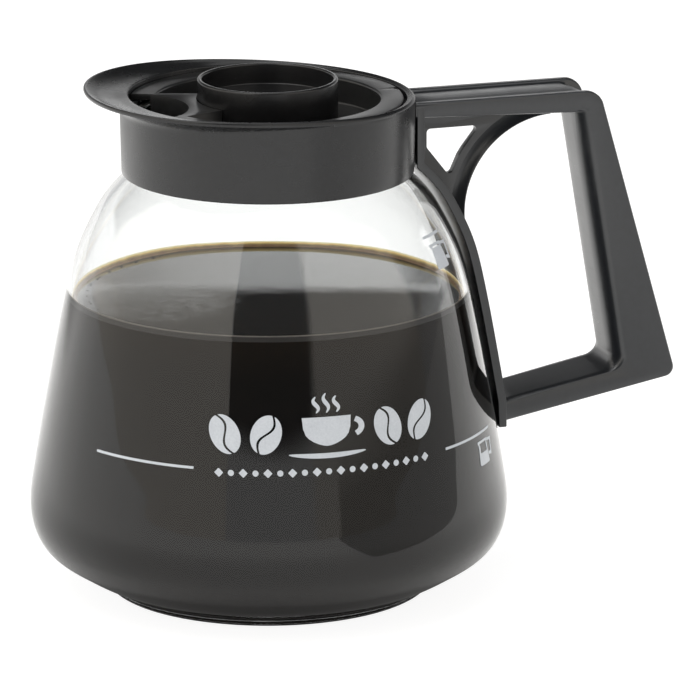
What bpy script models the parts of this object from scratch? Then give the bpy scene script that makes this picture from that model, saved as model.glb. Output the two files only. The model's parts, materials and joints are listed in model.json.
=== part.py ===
"""Glass coffee decanter, 1.8 litre class, with a black pouring collar, a lift-off lid and a loop handle.

Frame: origin at the centre of the flat base on the resting plane, +Z up, the handle towards +X,
the pouring lip towards -X. Lengths are in millimetres and turned into metres by MM.
Profiles of turned pieces are (radius, height); outlines in the handle's plane are (x, z).
"""
import math

import bmesh
import bpy
from mathutils import Vector

MM = 0.001
TURN = 48                # facets round every large turned piece
FIT = 0.3                # clearance between touching pieces

for old_object in list(bpy.data.objects):
    bpy.data.objects.remove(old_object, do_unlink=True)
for old_collection in list(bpy.data.collections):
    bpy.data.collections.remove(old_collection)

PARTS = bpy.data.collections.new("coffee_decanter")
CUTTERS = bpy.data.collections.new("cutters")
bpy.context.scene.collection.children.link(PARTS)
bpy.context.scene.collection.children.link(CUTTERS)


# ---------------------------------------------------------------- materials
def material(name, colour, roughness, metallic=0.0, transmission=0.0):
    mat = bpy.data.materials.new(name)
    mat.use_nodes = True
    inputs = mat.node_tree.nodes["Principled BSDF"].inputs
    inputs["Base Color"].default_value = (*colour, 1.0)
    inputs["Roughness"].default_value = roughness
    inputs["Metallic"].default_value = metallic
    inputs["Transmission Weight"].default_value = transmission
    mat.diffuse_color = (*colour, 1.0)
    return mat


GLASS = material("clear_glass", colour=(0.86, 0.9, 0.92), roughness=0.03, transmission=0.9)
BLACK = material("black_plastic", colour=(0.025, 0.026, 0.028), roughness=0.38)
BLACK_CUP = material("black_cup_plastic", colour=(0.02, 0.021, 0.023), roughness=0.34)
BLACK_LID = material("black_lid_plastic", colour=(0.03, 0.031, 0.033), roughness=0.42)
BLACK_HANDLE = material("black_handle_plastic", colour=(0.028, 0.029, 0.031), roughness=0.4)
SEAL = material("seal_silicone", colour=(0.5, 0.5, 0.48), roughness=0.6)
PAD = material("clear_silicone", colour=(0.78, 0.8, 0.8), roughness=0.45)
STEEL = material("screw_steel", colour=(0.62, 0.63, 0.65), roughness=0.3, metallic=1.0)


# ---------------------------------------------------------------- plane curves
def between(first, second, start, end, at):
    """The point at parameter `at` on the line from first (at start) to second (at end)."""
    return first * ((end - at) / (end - start)) + second * ((at - start) / (end - start))


def spline(points, steps):
    """A centripetal Catmull-Rom curve through the points, with `steps` between neighbours."""
    pts = [Vector(point) for point in points]
    pts = [2 * pts[0] - pts[1]] + pts + [2 * pts[-1] - pts[-2]]
    curve = []
    for i in range(1, len(pts) - 2):
        group = pts[i - 1:i + 3]
        knots = [0.0]
        for start, end in zip(group, group[1:]):
            knots.append(knots[-1] + (end - start).length ** 0.5)
        for k in range(steps):
            at = knots[1] + (knots[2] - knots[1]) * k / steps
            lower = [between(group[j], group[j + 1], knots[j], knots[j + 1], at) for j in range(3)]
            upper = [between(lower[j], lower[j + 1], knots[j], knots[j + 2], at) for j in range(2)]
            curve.append(between(*upper, knots[1], knots[2], at))
    curve.append(pts[-2])
    return [tuple(point) for point in curve]


def offset(curve, distance):
    """The plane curve moved along its left normal."""
    moved = []
    for i, point in enumerate(curve):
        before = Vector(curve[max(i - 1, 0)])
        after = Vector(curve[min(i + 1, len(curve) - 1)])
        along = (after - before).normalized()
        moved.append((point[0] - along[1] * distance, point[1] + along[0] * distance))
    return moved


def fillet_arc(before, corner, after, radius, steps):
    """The points of an arc that rounds a corner."""
    corner = Vector(corner)
    to_before = (Vector(before) - corner).normalized()
    to_after = (Vector(after) - corner).normalized()
    half = math.acos(to_before.dot(to_after)) / 2
    reach = radius / math.tan(half)
    centre = corner + (to_before + to_after).normalized() * (radius / math.sin(half))
    first = corner + to_before * reach - centre
    last = corner + to_after * reach - centre
    turn = math.pi - 2 * half
    points = []
    for k in range(steps + 1):
        share = k / steps
        spoke = (first * math.sin((1 - share) * turn) + last * math.sin(share * turn)) / math.sin(turn)
        points.append(tuple(centre + spoke))
    return points


def rounded(corners, radius, steps=3):
    """A closed outline with every corner turned into an arc."""
    points = []
    for i, corner in enumerate(corners):
        points += fillet_arc(corners[i - 1], corner, corners[(i + 1) % len(corners)], radius, steps)
    return points


# ---------------------------------------------------------------- solids
# A solid made without a material is a hidden tool for a boolean.
def add(name, mesh, mat=None):
    obj = bpy.data.objects.new(name, mesh)
    if mat:
        PARTS.objects.link(obj)
        mesh.materials.append(mat)
    else:
        CUTTERS.objects.link(obj)
        obj.hide_render = True
        obj.display_type = "WIRE"
    return obj


def add_bmesh(name, bm, mat=None):
    mesh = bpy.data.meshes.new(name)
    bm.to_mesh(mesh)
    bm.free()
    return add(name, mesh, mat)


def turned(name, profile, mat=None, closed=False, steps=TURN):
    """A (radius, height) profile spun about Z; an open one runs from the axis to the axis."""
    bm = bmesh.new()
    verts = [bm.verts.new((radius * MM, 0.0, z * MM)) for radius, z in profile]
    for start, end in zip(verts, verts[1:] + (verts[:1] if closed else [])):
        bm.edges.new((start, end))
    obj = add_bmesh(name, bm, mat)
    screw = obj.modifiers.new("turn", "SCREW")
    screw.axis = "Z"
    screw.angle = 2 * math.pi
    screw.steps = screw.render_steps = steps
    screw.use_merge_vertices = True
    screw.merge_threshold = 0.00001
    screw.use_smooth_shade = True
    return obj


def loft(name, rings, mat=None, closed=False):
    """Skins a list of closed rings of points. The last ring joins the first, or both ends are capped."""
    bm = bmesh.new()
    grid = [[bm.verts.new((x * MM, y * MM, z * MM)) for x, y, z in ring] for ring in rings]
    for i in range(len(grid) if closed else len(grid) - 1):
        ring, following = grid[i], grid[(i + 1) % len(grid)]
        for j in range(len(ring)):
            k = (j + 1) % len(ring)
            bm.faces.new((ring[j], ring[k], following[k], following[j]))
    if not closed:
        bm.faces.new(list(reversed(grid[0])))
        bm.faces.new(grid[-1])
    bmesh.ops.recalc_face_normals(bm, faces=bm.faces)
    obj = add_bmesh(name, bm, mat)
    obj.data.shade_smooth()
    obj.data.set_sharp_from_angle(angle=math.radians(35))
    return obj


def plate(name, outline, thick, low=None):
    """A flat tool. Its outline is (x, z), centred on y = 0; or, where low is given, (x, y) from z = low up."""
    curve = bpy.data.curves.new(name, "CURVE")
    curve.dimensions = "2D"
    curve.fill_mode = "BOTH"
    poly = curve.splines.new("POLY")
    poly.points.add(len(outline) - 1)
    for point, (x, y) in zip(poly.points, outline):
        point.co = (x * MM, y * MM, 0.0, 1.0)
    poly.use_cyclic_u = True
    curve.extrude = thick / 2 * MM
    source = bpy.data.objects.new(name + "_curve", curve)
    CUTTERS.objects.link(source)
    if low is None:
        source.rotation_euler = (math.pi / 2, 0.0, 0.0)
    else:
        source.location = (0.0, 0.0, (low + thick / 2) * MM)
    bpy.context.view_layer.update()
    depsgraph = bpy.context.evaluated_depsgraph_get()
    mesh = bpy.data.meshes.new_from_object(source.evaluated_get(depsgraph))
    # The curve's caps and sides come unjoined.
    bm = bmesh.new()
    bm.from_mesh(mesh)
    bmesh.ops.remove_doubles(bm, verts=bm.verts, dist=0.000002)
    bmesh.ops.recalc_face_normals(bm, faces=bm.faces)
    bm.to_mesh(mesh)
    bm.free()
    obj = add(name, mesh)
    obj.matrix_world = source.matrix_world
    bpy.data.objects.remove(source, do_unlink=True)
    return obj


def boolean(target, tool, operation):
    modifier = target.modifiers.new(tool.name, "BOOLEAN")
    modifier.operation = operation
    modifier.solver = "EXACT"
    modifier.object = tool


# ---------------------------------------------------------------- glass vessel
GLASS_WALL = 2.4
BASE_FLAT_R = 49.6       # radius of the flat resting face
FOOT_R = 54.1            # rounded foot that stands on the plate
FOOT_H = 3.4             # height at which the belly springs from the foot
FOOT_STEPS = 4
NECK_R = 44.2
NECK_H = 144.5
BEAD_R = 46.4            # fire-polished bead at the mouth
BEAD_LOW = 157.2
MOUTH_H = 159.8
INNER_WALL_LOW = 10.0    # above this the inside follows the outside

# The outer side from the foot up to the neck: (radius, height).
BELLY_POINTS = (
    (FOOT_R + 0.5, FOOT_H), (61.2, 6.2), (67.8, 10.1), (76.2, 16.3),
    (79.85, 27.2),                                  # widest part of the belly
    (77.55, 46.0), (73.2, 71.0), (68.2, 97.0),      # long straight cone
    (64.0, 114.0), (58.1, 126.6),                   # shoulder
    (54.2, 133.0), (49.5, 138.2), (NECK_R + 1.2, 142.2), (NECK_R, NECK_H + 1.6),
)
BELLY_CURVE = spline(BELLY_POINTS, 2)


def build_glass():
    outer = [(BASE_FLAT_R, 0.0)]
    for k in range(1, FOOT_STEPS + 1):
        angle = math.radians(90 * k / FOOT_STEPS)
        outer.append((BASE_FLAT_R + (FOOT_R - BASE_FLAT_R) * math.sin(angle),
                      FOOT_H * 0.55 * (1 - math.cos(angle))))
    outer += BELLY_CURVE
    outer += [(NECK_R, BEAD_LOW - 1.4), (BEAD_R - 0.7, BEAD_LOW - 0.5), (BEAD_R, BEAD_LOW + 0.6),
              (BEAD_R, MOUTH_H - 0.9), (BEAD_R - 0.8, MOUTH_H)]
    bore = NECK_R - GLASS_WALL
    inner = [(0.0, 2.6), (BASE_FLAT_R - 6.0, 2.8), (FOOT_R - 2.7, 4.1), (60.2, 8.5)]
    inner += [point for point in offset(BELLY_CURVE, GLASS_WALL) if point[1] > INNER_WALL_LOW][::2]
    inner += [(bore, MOUTH_H - 1.0), (bore + 0.8, MOUTH_H)]
    turned("glass_vessel", inner + list(reversed(outer)) + [(0.0, 0.0)], GLASS)


# ---------------------------------------------------------------- screws and their holes
SCREW_HEIGHTS = (149.8, 145.0)   # upper, lower
SCREW_HEAD_R = 2.2
SCREW_HEAD_H = 1.2
SCREW_SHANK_R = 1.35
SCREW_START = 45.5               # x of the head's end
SCREW_END = 52.4                 # x of the tip
SCREW_FACETS = 20
HOLE_LENGTH = 8.0


def drill(target, name, radius, centre_x):
    """Cuts a round hole along X at each screw."""
    for i, z in enumerate(SCREW_HEIGHTS):
        bm = bmesh.new()
        bmesh.ops.create_cone(bm, cap_ends=True, segments=SCREW_FACETS, radius1=radius * MM,
                              radius2=radius * MM, depth=HOLE_LENGTH * MM)
        hole = add_bmesh(f"{name}_{i}", bm)
        hole.rotation_euler = (0.0, math.pi / 2, 0.0)
        hole.location = (centre_x * MM, 0.0, z * MM)
        boolean(target, hole, "DIFFERENCE")


def build_screws():
    """Turned with the head uppermost, then laid along X with the tip in the handle."""
    head_top = SCREW_END - SCREW_START
    head_low = head_top - SCREW_HEAD_H
    profile = [(0.0, head_top), (SCREW_HEAD_R * 0.7, head_top), (SCREW_HEAD_R, head_top - 0.6),
               (SCREW_HEAD_R, head_low), (SCREW_SHANK_R, head_low),
               (SCREW_SHANK_R, 0.8), (0.3, 0.0), (0.0, 0.0)]
    for name, z in zip(("handle_screw_upper", "handle_screw_lower"), SCREW_HEIGHTS):
        screw = turned(name, profile, STEEL, steps=SCREW_FACETS)
        screw.rotation_euler = (0.0, -math.pi / 2, 0.0)
        screw.location = (SCREW_END * MM, 0.0, z * MM)


# ---------------------------------------------------------------- pouring collar and neck seal
COLLAR_R = 48.75         # the skirt, just under the rim
COLLAR_FOOT_R = 48.35    # its drafted lower edge
COLLAR_LOW = 141.6
COLLAR_BORE = 47.0
COLLAR_RIM_R = 47.8      # crest of the rim away from the lip
COLLAR_RIM_H = 166.7
COLLAR_HOLE_X = 48.0     # middle of the screw holes' cutters
LIP_REACH = 12.7         # how far the lip's crest runs out past the rim's crest
LIP_RISE = 3.9
LIP_SPAN = 1.185         # radians either side of the spout axis
LIP_RISE_SPAN = 1.872
LIP_POWER = 3.25         # how squarely the reach fades out
LIP_RISE_POWER = 3.13
UNDERSIDE_STEPS = 4
MOUTH_R = 46.0           # inner edge of the rim
SEAT_H = 163.9           # the ledge the lid's flange rests on
SEAT_R = 43.0
SEAT_LOW = 161.8
SNAP_R = 45.0            # snap rib that grips under the glass bead
SNAP_TOP = 155.6
SNAP_LOW = 153.2
SEAL_R = 46.5
SEAL_BORE = 42.6


def build_neck_seal():
    top, low = SEAT_LOW - FIT, MOUTH_H + FIT
    turned("neck_seal", [(SEAL_R, top), (SEAL_R, low), (SEAL_BORE, low), (SEAL_BORE, top)],
           SEAL, closed=True)


def collar_section(angle):
    """The collar's closed section at an angle from the spout axis."""
    reach = math.exp(-(abs(angle) / LIP_SPAN) ** LIP_POWER)
    rise = math.exp(-(abs(angle) / LIP_RISE_SPAN) ** LIP_RISE_POWER)
    crest_r, crest_z = COLLAR_RIM_R + LIP_REACH * reach, COLLAR_RIM_H + LIP_RISE * rise
    edge_r = crest_r + 0.9 - 0.65 * reach
    root_z = crest_z - 2.4 - 5.6 * reach

    # The underside is a cubic Bezier from the skirt to the rim's edge.
    root = Vector((COLLAR_R, root_z))
    tip = Vector((edge_r - 0.25 * reach, crest_z - 1.7 + 0.4 * reach))
    root_pull = Vector((COLLAR_R, root_z + 0.5 * (tip[1] - root_z)))
    tip_pull = Vector((COLLAR_R + 0.45 * (tip[0] - COLLAR_R), tip[1] - 1.4 * reach - 0.2))
    underside = []
    for k in range(UNDERSIDE_STEPS + 1):
        t = k / UNDERSIDE_STEPS
        underside.append(tuple(root * (1 - t) ** 3 + root_pull * 3 * t * (1 - t) ** 2
                               + tip_pull * 3 * t * t * (1 - t) + tip * t ** 3))

    # The upper side dips between the crest and the mouth.
    inner_z = COLLAR_RIM_H - 0.2 + 1.4 * rise
    dish = [(crest_r + (MOUTH_R - crest_r) * share,
             crest_z + (inner_z - crest_z) * share - 2.4 * reach * share * (1 - share))
            for share in (0.33, 0.66)]
    return [
        (COLLAR_FOOT_R - 0.4, COLLAR_LOW + 0.25), (COLLAR_FOOT_R, COLLAR_LOW + 0.9),
        *underside, (edge_r, crest_z - 0.8), (crest_r, crest_z), *dish,
        (MOUTH_R + 0.4, inner_z), (MOUTH_R, inner_z - 0.4), (MOUTH_R, SEAT_H), (SEAT_R, SEAT_H),
        (SEAT_R, SEAT_LOW), (COLLAR_BORE, SEAT_LOW), (COLLAR_BORE, SNAP_TOP), (SNAP_R, SNAP_TOP - 0.4),
        (SNAP_R, SNAP_LOW + 0.6), (COLLAR_BORE, SNAP_LOW - 0.6), (COLLAR_BORE, COLLAR_LOW + 0.8),
        (COLLAR_BORE + 0.3, COLLAR_LOW), (COLLAR_FOOT_R - 0.8, COLLAR_LOW)]


def ring_at(angle, section):
    """A (radius, height) section stood up at an angle from +X."""
    return [(radius * math.cos(angle), radius * math.sin(angle), z) for radius, z in section]


def build_collar():
    rings = []
    for i in range(TURN):
        angle = 2 * math.pi * i / TURN
        from_spout = math.atan2(math.sin(angle - math.pi), math.cos(angle - math.pi))
        rings.append(ring_at(angle, collar_section(from_spout)))
    collar = loft("pouring_collar", rings, BLACK, closed=True)
    drill(collar, "collar_hole", SCREW_SHANK_R + FIT + 0.1, COLLAR_HOLE_X)


# ---------------------------------------------------------------- handle loop
STRIP_FACE_X = 50.5      # outer face of the spine strip beside the collar
BAR_TOP = 163.2
BAR_ROOT_LOW = 158.3
HANDLE_W = 24.6
ROOT_IN = (STRIP_FACE_X - 3.4, BAR_ROOT_LOW)
ROOT_OUT = (STRIP_FACE_X - 3.4, BAR_TOP)
TOP_IN = (104.3, 156.2)      # inner corner between top bar and grip
TOP_OUT = (112.3, BAR_TOP)
LOW_IN = (119.1, 66.8)
LOW_OUT = (140.4, 63.4)
ARM_ROOT_IN = (77.6, 58.9)
ARM_ROOT_OUT = (78.2, 51.7)
TOP_IN_FILLET, TOP_OUT_FILLET = 1.2, 6.3
LOW_IN_FILLET, LOW_OUT_FILLET = 5.0, 3.2
CORNER_STEPS = 4
BAR_EDGE, GRIP_EDGE, ARM_EDGE = 0.9, 4.5, 1.6      # easing of the edges that face the hand
OUTER_EDGE = 1.0
EDGE_STEPS = 2
BAR_CHANNEL, GRIP_CHANNEL = 0.8, 3.0               # depth of the hollow along the loop's outer side

# The hollow across the loop: (share of the width, share of the channel's depth).
CHANNEL_PROFILE = ((-0.37, 0.0), (-0.29, 1.0), (-0.14, 0.75), (0.0, 0.65),
                   (0.14, 0.75), (0.29, 1.0), (0.37, 0.0))


def loop_section(inner, outer, hand_edge, channel):
    """The loop's section between two (x, z) points, HANDLE_W across Y."""
    inner, outer = Vector(inner), Vector(outer)
    span = (outer - inner).length
    outward = (outer - inner).normalized()
    hand_r, half = min(hand_edge, span * 0.6), HANDLE_W / 2
    flat = []
    for centre_out, centre_y, radius, start in (
            (span - OUTER_EDGE, half - OUTER_EDGE, OUTER_EDGE, 0),
            (hand_r, half - hand_r, hand_r, 90),
            (hand_r, -half + hand_r, hand_r, 180),
            (span - OUTER_EDGE, -half + OUTER_EDGE, OUTER_EDGE, 270)):
        for k in range(EDGE_STEPS + 1):
            angle = math.radians(start + 90 * k / EDGE_STEPS)
            flat.append((centre_out + radius * math.cos(angle), centre_y + radius * math.sin(angle)))
    flat += [(span - channel * depth, share * HANDLE_W) for share, depth in CHANNEL_PROFILE]
    section = []
    for distance, y in flat:
        x, z = inner + outward * distance
        section.append((x, y, z))
    return section


def loop_stations():
    """(inner point, outer point, hand edge, channel depth) along the top bar, grip and lower arm."""
    top_in = fillet_arc(ROOT_IN, TOP_IN, LOW_IN, TOP_IN_FILLET, CORNER_STEPS)
    top_out = fillet_arc(ROOT_OUT, TOP_OUT, LOW_OUT, TOP_OUT_FILLET, CORNER_STEPS)
    low_in = fillet_arc(TOP_IN, LOW_IN, ARM_ROOT_IN, LOW_IN_FILLET, CORNER_STEPS)
    low_out = fillet_arc(TOP_OUT, LOW_OUT, ARM_ROOT_OUT, LOW_OUT_FILLET, CORNER_STEPS)
    stations = [(ROOT_IN, ROOT_OUT, BAR_EDGE, BAR_CHANNEL)]

    def straight(to_in, to_out, shares):
        from_in, from_out, edge, channel = stations[-1]
        for share in shares:
            stations.append((tuple(Vector(from_in).lerp(Vector(to_in), share)),
                             tuple(Vector(from_out).lerp(Vector(to_out), share)), edge, channel))

    straight(top_in[0], top_out[0], (0.5, 0.95))
    for k, (inner, outer) in enumerate(zip(top_in, top_out)):
        share = k / CORNER_STEPS
        stations.append((inner, outer, BAR_EDGE + (GRIP_EDGE - BAR_EDGE) * share,
                         BAR_CHANNEL + (GRIP_CHANNEL - BAR_CHANNEL) * min(1.0, 0.5 + 2.0 * share)))
    straight(low_in[0], low_out[0], (0.5,))
    for k, (inner, outer) in enumerate(zip(low_in, low_out)):
        share = k / CORNER_STEPS
        stations.append((inner, outer, GRIP_EDGE + (ARM_EDGE - GRIP_EDGE) * share,
                         GRIP_CHANNEL + (BAR_CHANNEL - GRIP_CHANNEL) * share))
    straight(ARM_ROOT_IN, ARM_ROOT_OUT, (0.5,))
    stations.append((ARM_ROOT_IN, ARM_ROOT_OUT, ARM_EDGE, BAR_CHANNEL))
    return stations


# ---------------------------------------------------------------- handle strip and web
STRIP_W = 24.8
STRIP_THICK = 3.0
STRIP_GAP = 1.35         # between the glass and the strip
STRIP_BACK_X = STRIP_FACE_X - 2.6
STRIP_FOOT = 49.9
STRIP_FOOT_X = (77.0, 79.9)      # the foot's side towards the glass and its outer side
STRIP_CURVE_LOW = STRIP_FOOT + 8.0   # above this the strip follows the glass
STRIP_TOP = BAR_TOP - 1.5
WEB_THICK = 3.0
WEB_RIB_W = 8.0          # stiffening rib along the web's round edge
WEB_ARC_C = (99.3, 122.9)
WEB_ARC_R = 31.7
WEB_ARC_STEPS = 12
WEB_ARC_SPAN = (196, 92)     # degrees, first and last
RIB_ARC_SPAN = (197, 93)
ROOT_TOP = 140.6         # the web's root follows the glass up to here
WEB_ROOT_LOW = 115.5
RIB_ROOT_LOW = 112.4
WINDOW = ((54.85, 151.9), (73.65, 152.0), (67.9, 144.65),
          (66.3, 142.2), (63.1, 135.05), (54.85, 145.6))
WINDOW_FILLET = 1.3
BOSS_W, BOSS_END = 6.4, 53.5     # block behind the strip that takes the screws
BOSS_ROOT_X, BOSS_TOP = STRIP_FACE_X - 1.4, 152.3
GLASS_LINE = spline(BELLY_CURVE, 3)


def beside_glass(distance, low, high=math.inf, least_x=0.0):
    """The glass line moved outwards, kept between two heights and beyond least_x."""
    return [(x, z) for x, z in offset(GLASS_LINE, -distance) if low < z < high and x > least_x]


def web_arc(span, depths=(0.0,)):
    """Points (x, z) at each depth outside the web's arc, for every step along it."""
    first, last = span
    steps = []
    for k in range(WEB_ARC_STEPS + 1):
        angle = math.radians(first - (first - last) * k / WEB_ARC_STEPS)
        steps.append([(WEB_ARC_C[0] + (WEB_ARC_R + depth) * math.cos(angle),
                       WEB_ARC_C[1] + (WEB_ARC_R + depth) * math.sin(angle)) for depth in depths])
    return steps


def strip_tool():
    """The spine strip follows the glass and then runs straight up the collar."""
    face = beside_glass(STRIP_GAP + STRIP_THICK, STRIP_CURVE_LOW, least_x=STRIP_FACE_X)
    back = beside_glass(STRIP_GAP, STRIP_CURVE_LOW, least_x=STRIP_BACK_X)
    outline = [(STRIP_FOOT_X[1], STRIP_FOOT), *face,
               (STRIP_FACE_X, face[-1][1] + 0.6), (STRIP_FACE_X, STRIP_TOP),
               (STRIP_BACK_X, STRIP_TOP), (STRIP_BACK_X, back[-1][1] + 0.6),
               *reversed(back), (STRIP_FOOT_X[0], STRIP_FOOT)]
    return plate("spine_strip_tool", outline, STRIP_W)


def rib_tool():
    """The rib along the web's arc, flared from the web's thickness and trimmed to the strip and bar."""
    half_rib, half_web = WEB_RIB_W / 2, WEB_THICK / 2 - 0.1
    # (depth outside the arc, y)
    section = ((0.02, half_rib), (0.02, -half_rib), (0.8, -half_rib), (1.8, -half_rib + 1.2),
               (3.3, -half_web - 0.5), (4.6, -half_web), (4.6, half_web),
               (3.3, half_web + 0.5), (1.8, half_rib - 1.2), (0.8, half_rib))
    rings = [[(x, y, z) for (x, z), (_, y) in zip(points, section)]
             for points in web_arc(RIB_ARC_SPAN, [depth for depth, _ in section])]
    rib = loft("rib_tool", rings)
    deep = beside_glass(STRIP_GAP + STRIP_THICK * 0.3, RIB_ROOT_LOW, ROOT_TOP)
    outline = [*deep, (STRIP_FACE_X, BAR_ROOT_LOW + 0.8), (TOP_IN[0] - 1.0, BAR_ROOT_LOW - 0.9),
               (TOP_IN[0] + 3.0, WEB_ARC_C[1]), (deep[0][0] + 4.0, RIB_ROOT_LOW)]
    boolean(rib, plate("rib_bounds", outline, WEB_RIB_W + 2.0), "INTERSECT")
    return rib


def web_tool():
    """The thin web between the strip, the top bar and a round arc, with window, rib and screw boss."""
    arc = [points[0] for points in web_arc(WEB_ARC_SPAN)]
    root = beside_glass(STRIP_GAP + STRIP_THICK * 0.5, WEB_ROOT_LOW, ROOT_TOP)
    outline = [(arc[0][0] - 1.2, arc[0][1] - 1.5), *arc,
               (TOP_IN[0] - 0.5, BAR_ROOT_LOW - 1.7), (TOP_IN[0] - 0.5, BAR_ROOT_LOW - 0.6),
               (STRIP_FACE_X - 0.7, BAR_ROOT_LOW + 1.3), (STRIP_FACE_X - 0.7, 142.1),
               *reversed(root)]
    web = plate("web_tool", outline, WEB_THICK)
    window = plate("web_window", rounded(WINDOW, WINDOW_FILLET), WEB_THICK * 2)
    boolean(web, window, "DIFFERENCE")
    boolean(web, rib_tool(), "UNION")
    boss = plate("boss_tool", [(BOSS_ROOT_X, 142.8), (BOSS_END, 144.4),
                               (BOSS_END, BOSS_TOP), (BOSS_ROOT_X, BOSS_TOP)], BOSS_W)
    boolean(web, boss, "UNION")
    return web


# ---------------------------------------------------------------- foot pad and whole handle
PAD_SIZE = (1.2, 12.0, 7.0)      # thickness, width, height
PAD_TILT = math.atan2(4.4, 25.0)     # lean of the glass beside the pad
PAD_CENTRE = (77.45, 0.0, 53.0)
COLLAR_SEAT_TOP = 175.0          # clear above the handle


def pad_box(name, grow=0.0, mat=None):
    bm = bmesh.new()
    bmesh.ops.create_cube(bm, size=1.0)
    bmesh.ops.scale(bm, verts=bm.verts, vec=[(size + 2 * grow) * MM for size in PAD_SIZE])
    pad = add_bmesh(name, bm, mat)
    pad.rotation_euler = (0.0, -PAD_TILT, 0.0)
    pad.location = [value * MM for value in PAD_CENTRE]
    return pad


def build_handle():
    handle = loft("handle", [loop_section(*station) for station in loop_stations()], BLACK_HANDLE)
    boolean(handle, strip_tool(), "UNION")
    boolean(handle, web_tool(), "UNION")
    seat_r, seat_low = COLLAR_R + FIT, COLLAR_LOW - 0.5
    seat = turned("collar_seat", [(0.0, COLLAR_SEAT_TOP), (seat_r, COLLAR_SEAT_TOP),
                                  (seat_r, seat_low), (0.0, seat_low)])
    boolean(handle, seat, "DIFFERENCE")
    drill(handle, "handle_hole", SCREW_SHANK_R + FIT, SCREW_END + FIT - HOLE_LENGTH / 2)
    pad_box("handle_foot_pad", mat=PAD)
    boolean(handle, pad_box("pad_recess", grow=FIT), "DIFFERENCE")


# ---------------------------------------------------------------- lid
FLANGE_R = 45.6
FLANGE_TOP = 166.2
FLANGE_LOW = SEAT_H + FIT
WELL_R = 37.2
WELL_FLOOR = 157.5
LID_WALL = 1.8
SOCKET_R = 20.3
CUP_R = 23.25
RIB_ANGLE = math.radians(19.4)
RIB_OFFSET = 4.2         # the ribs' distance from the axis, measured square to each rib
RIB_THICK = 1.6
LEDGE_U = 28.0           # where the ledge's hollow edge crosses the spout axis
LEDGE_HOLLOW_R = 22.0
BLOCK_TOP = FLANGE_TOP - 0.1
BLOCK_STEPS, HOLLOW_STEPS = 10, 8
POUR_LOW, POUR_DEPTH = 146.0, 30.0
NOTCH_R = 1.6            # depth of the notch in the flange
# Degrees from +X:
NOTCH_HALF = 2.2
NOTCH_STATIONS = [1.1, 2.3, 357.7, 358.9]     # extra sections round the notch
RELIEF_END = 72.0        # the relieved sector ends here, on the -Y side
RELIEF_LEAD = 12.0       # its sine starts this far before the notch
FINGER_GAP = 0.8         # extra clearance at the flange's relieved sector


def flange_radius(angle):
    """The flange's edge at an angle in degrees from the handle: a notch, then a relieved sector."""
    if abs(angle) < NOTCH_HALF:
        return FLANGE_R - NOTCH_R * math.cos(math.radians(90 * angle / NOTCH_HALF))
    if -RELIEF_END < angle < -NOTCH_HALF:
        share = (RELIEF_LEAD - angle) / (RELIEF_LEAD + RELIEF_END)
        return FLANGE_R - FINGER_GAP * math.sin(math.pi * share)
    return FLANGE_R


def lid_section(degrees):
    edge = flange_radius((degrees + 180.0) % 360.0 - 180.0)
    well_out, well_low = WELL_R + LID_WALL, WELL_FLOOR - LID_WALL
    return [(edge - 0.5, FLANGE_TOP), (edge, FLANGE_TOP - 0.5), (edge, FLANGE_LOW),
            (well_out, FLANGE_LOW), (well_out, well_low), (SOCKET_R, well_low),
            (SOCKET_R, WELL_FLOOR), (WELL_R - 0.6, WELL_FLOOR), (WELL_R, WELL_FLOOR + 0.6),
            (WELL_R, FLANGE_TOP - 0.8), (WELL_R + 0.8, FLANGE_TOP)]


def rib_point(along, side, out):
    """(x, y) on a rib's face at a distance along the spout axis; out moves it square to the rib."""
    return -along, side * (along * math.sin(RIB_ANGLE) + RIB_OFFSET + out) / math.cos(RIB_ANGLE)


def circle(radius):
    """A curve from an angle to (distance along the spout axis, y)."""
    return lambda angle: (radius * math.cos(angle), radius * math.sin(angle))


def hollow_arc(angle):
    """The ledge's hollow edge, in the same terms as circle."""
    return LEDGE_U + LEDGE_HOLLOW_R * (1 - math.cos(angle)), LEDGE_HOLLOW_R * math.sin(angle)


def crossing(curve, out):
    """The angle at which a curve meets the rib's face on the +Y side, found by halving."""
    low, high = 0.0, math.radians(89)
    for _ in range(40):
        middle = (low + high) / 2
        along, y = curve(middle)
        if y < rib_point(along, 1, out)[1]:
            low = middle
        else:
            high = middle
    return low


def rib_to_rib(curve, out, steps):
    """(x, y) points along a curve from one rib's face to the other's."""
    half = crossing(curve, out)
    points = []
    for k in range(steps + 1):
        along, y = curve(-half + 2 * half * k / steps)
        points.append((-along, y))
    return points


def build_lid():
    stations = sorted([360.0 * i / TURN for i in range(TURN)] + NOTCH_STATIONS)
    rings = [ring_at(math.radians(degrees), lid_section(degrees)) for degrees in stations]
    lid = loft("lid", rings, BLACK_LID, closed=True)

    # Both ribs and the ledge between the cup and the pour opening, sunk half a wall into the well.
    sink = LID_WALL / 2
    cup_side = rib_to_rib(circle(CUP_R + FIT), RIB_THICK, BLOCK_STEPS)
    wall_side = rib_to_rib(circle(WELL_R + sink), RIB_THICK, BLOCK_STEPS)
    block = plate("channel_block", cup_side + list(reversed(wall_side)),
                  BLOCK_TOP - WELL_FLOOR + sink, low=WELL_FLOOR - sink)
    pour_end = FLANGE_R + 6.0
    pour_outline = [*rib_to_rib(hollow_arc, 0.0, HOLLOW_STEPS),
                    rib_point(pour_end, 1, 0.0), rib_point(pour_end, -1, 0.0)]
    pour = plate("pour_opening", pour_outline, POUR_DEPTH, low=POUR_LOW)
    boolean(lid, block, "UNION")
    boolean(lid, pour, "DIFFERENCE")


# ---------------------------------------------------------------- fill cup
CUP_WALL = 1.6
CUP_RIM = 172.9
CUP_FLOOR = 166.0
DRIP_HOLE_R = 4.0
SPIGOT_R = SOCKET_R - FIT
SPIGOT_LOW = 154.1


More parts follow.
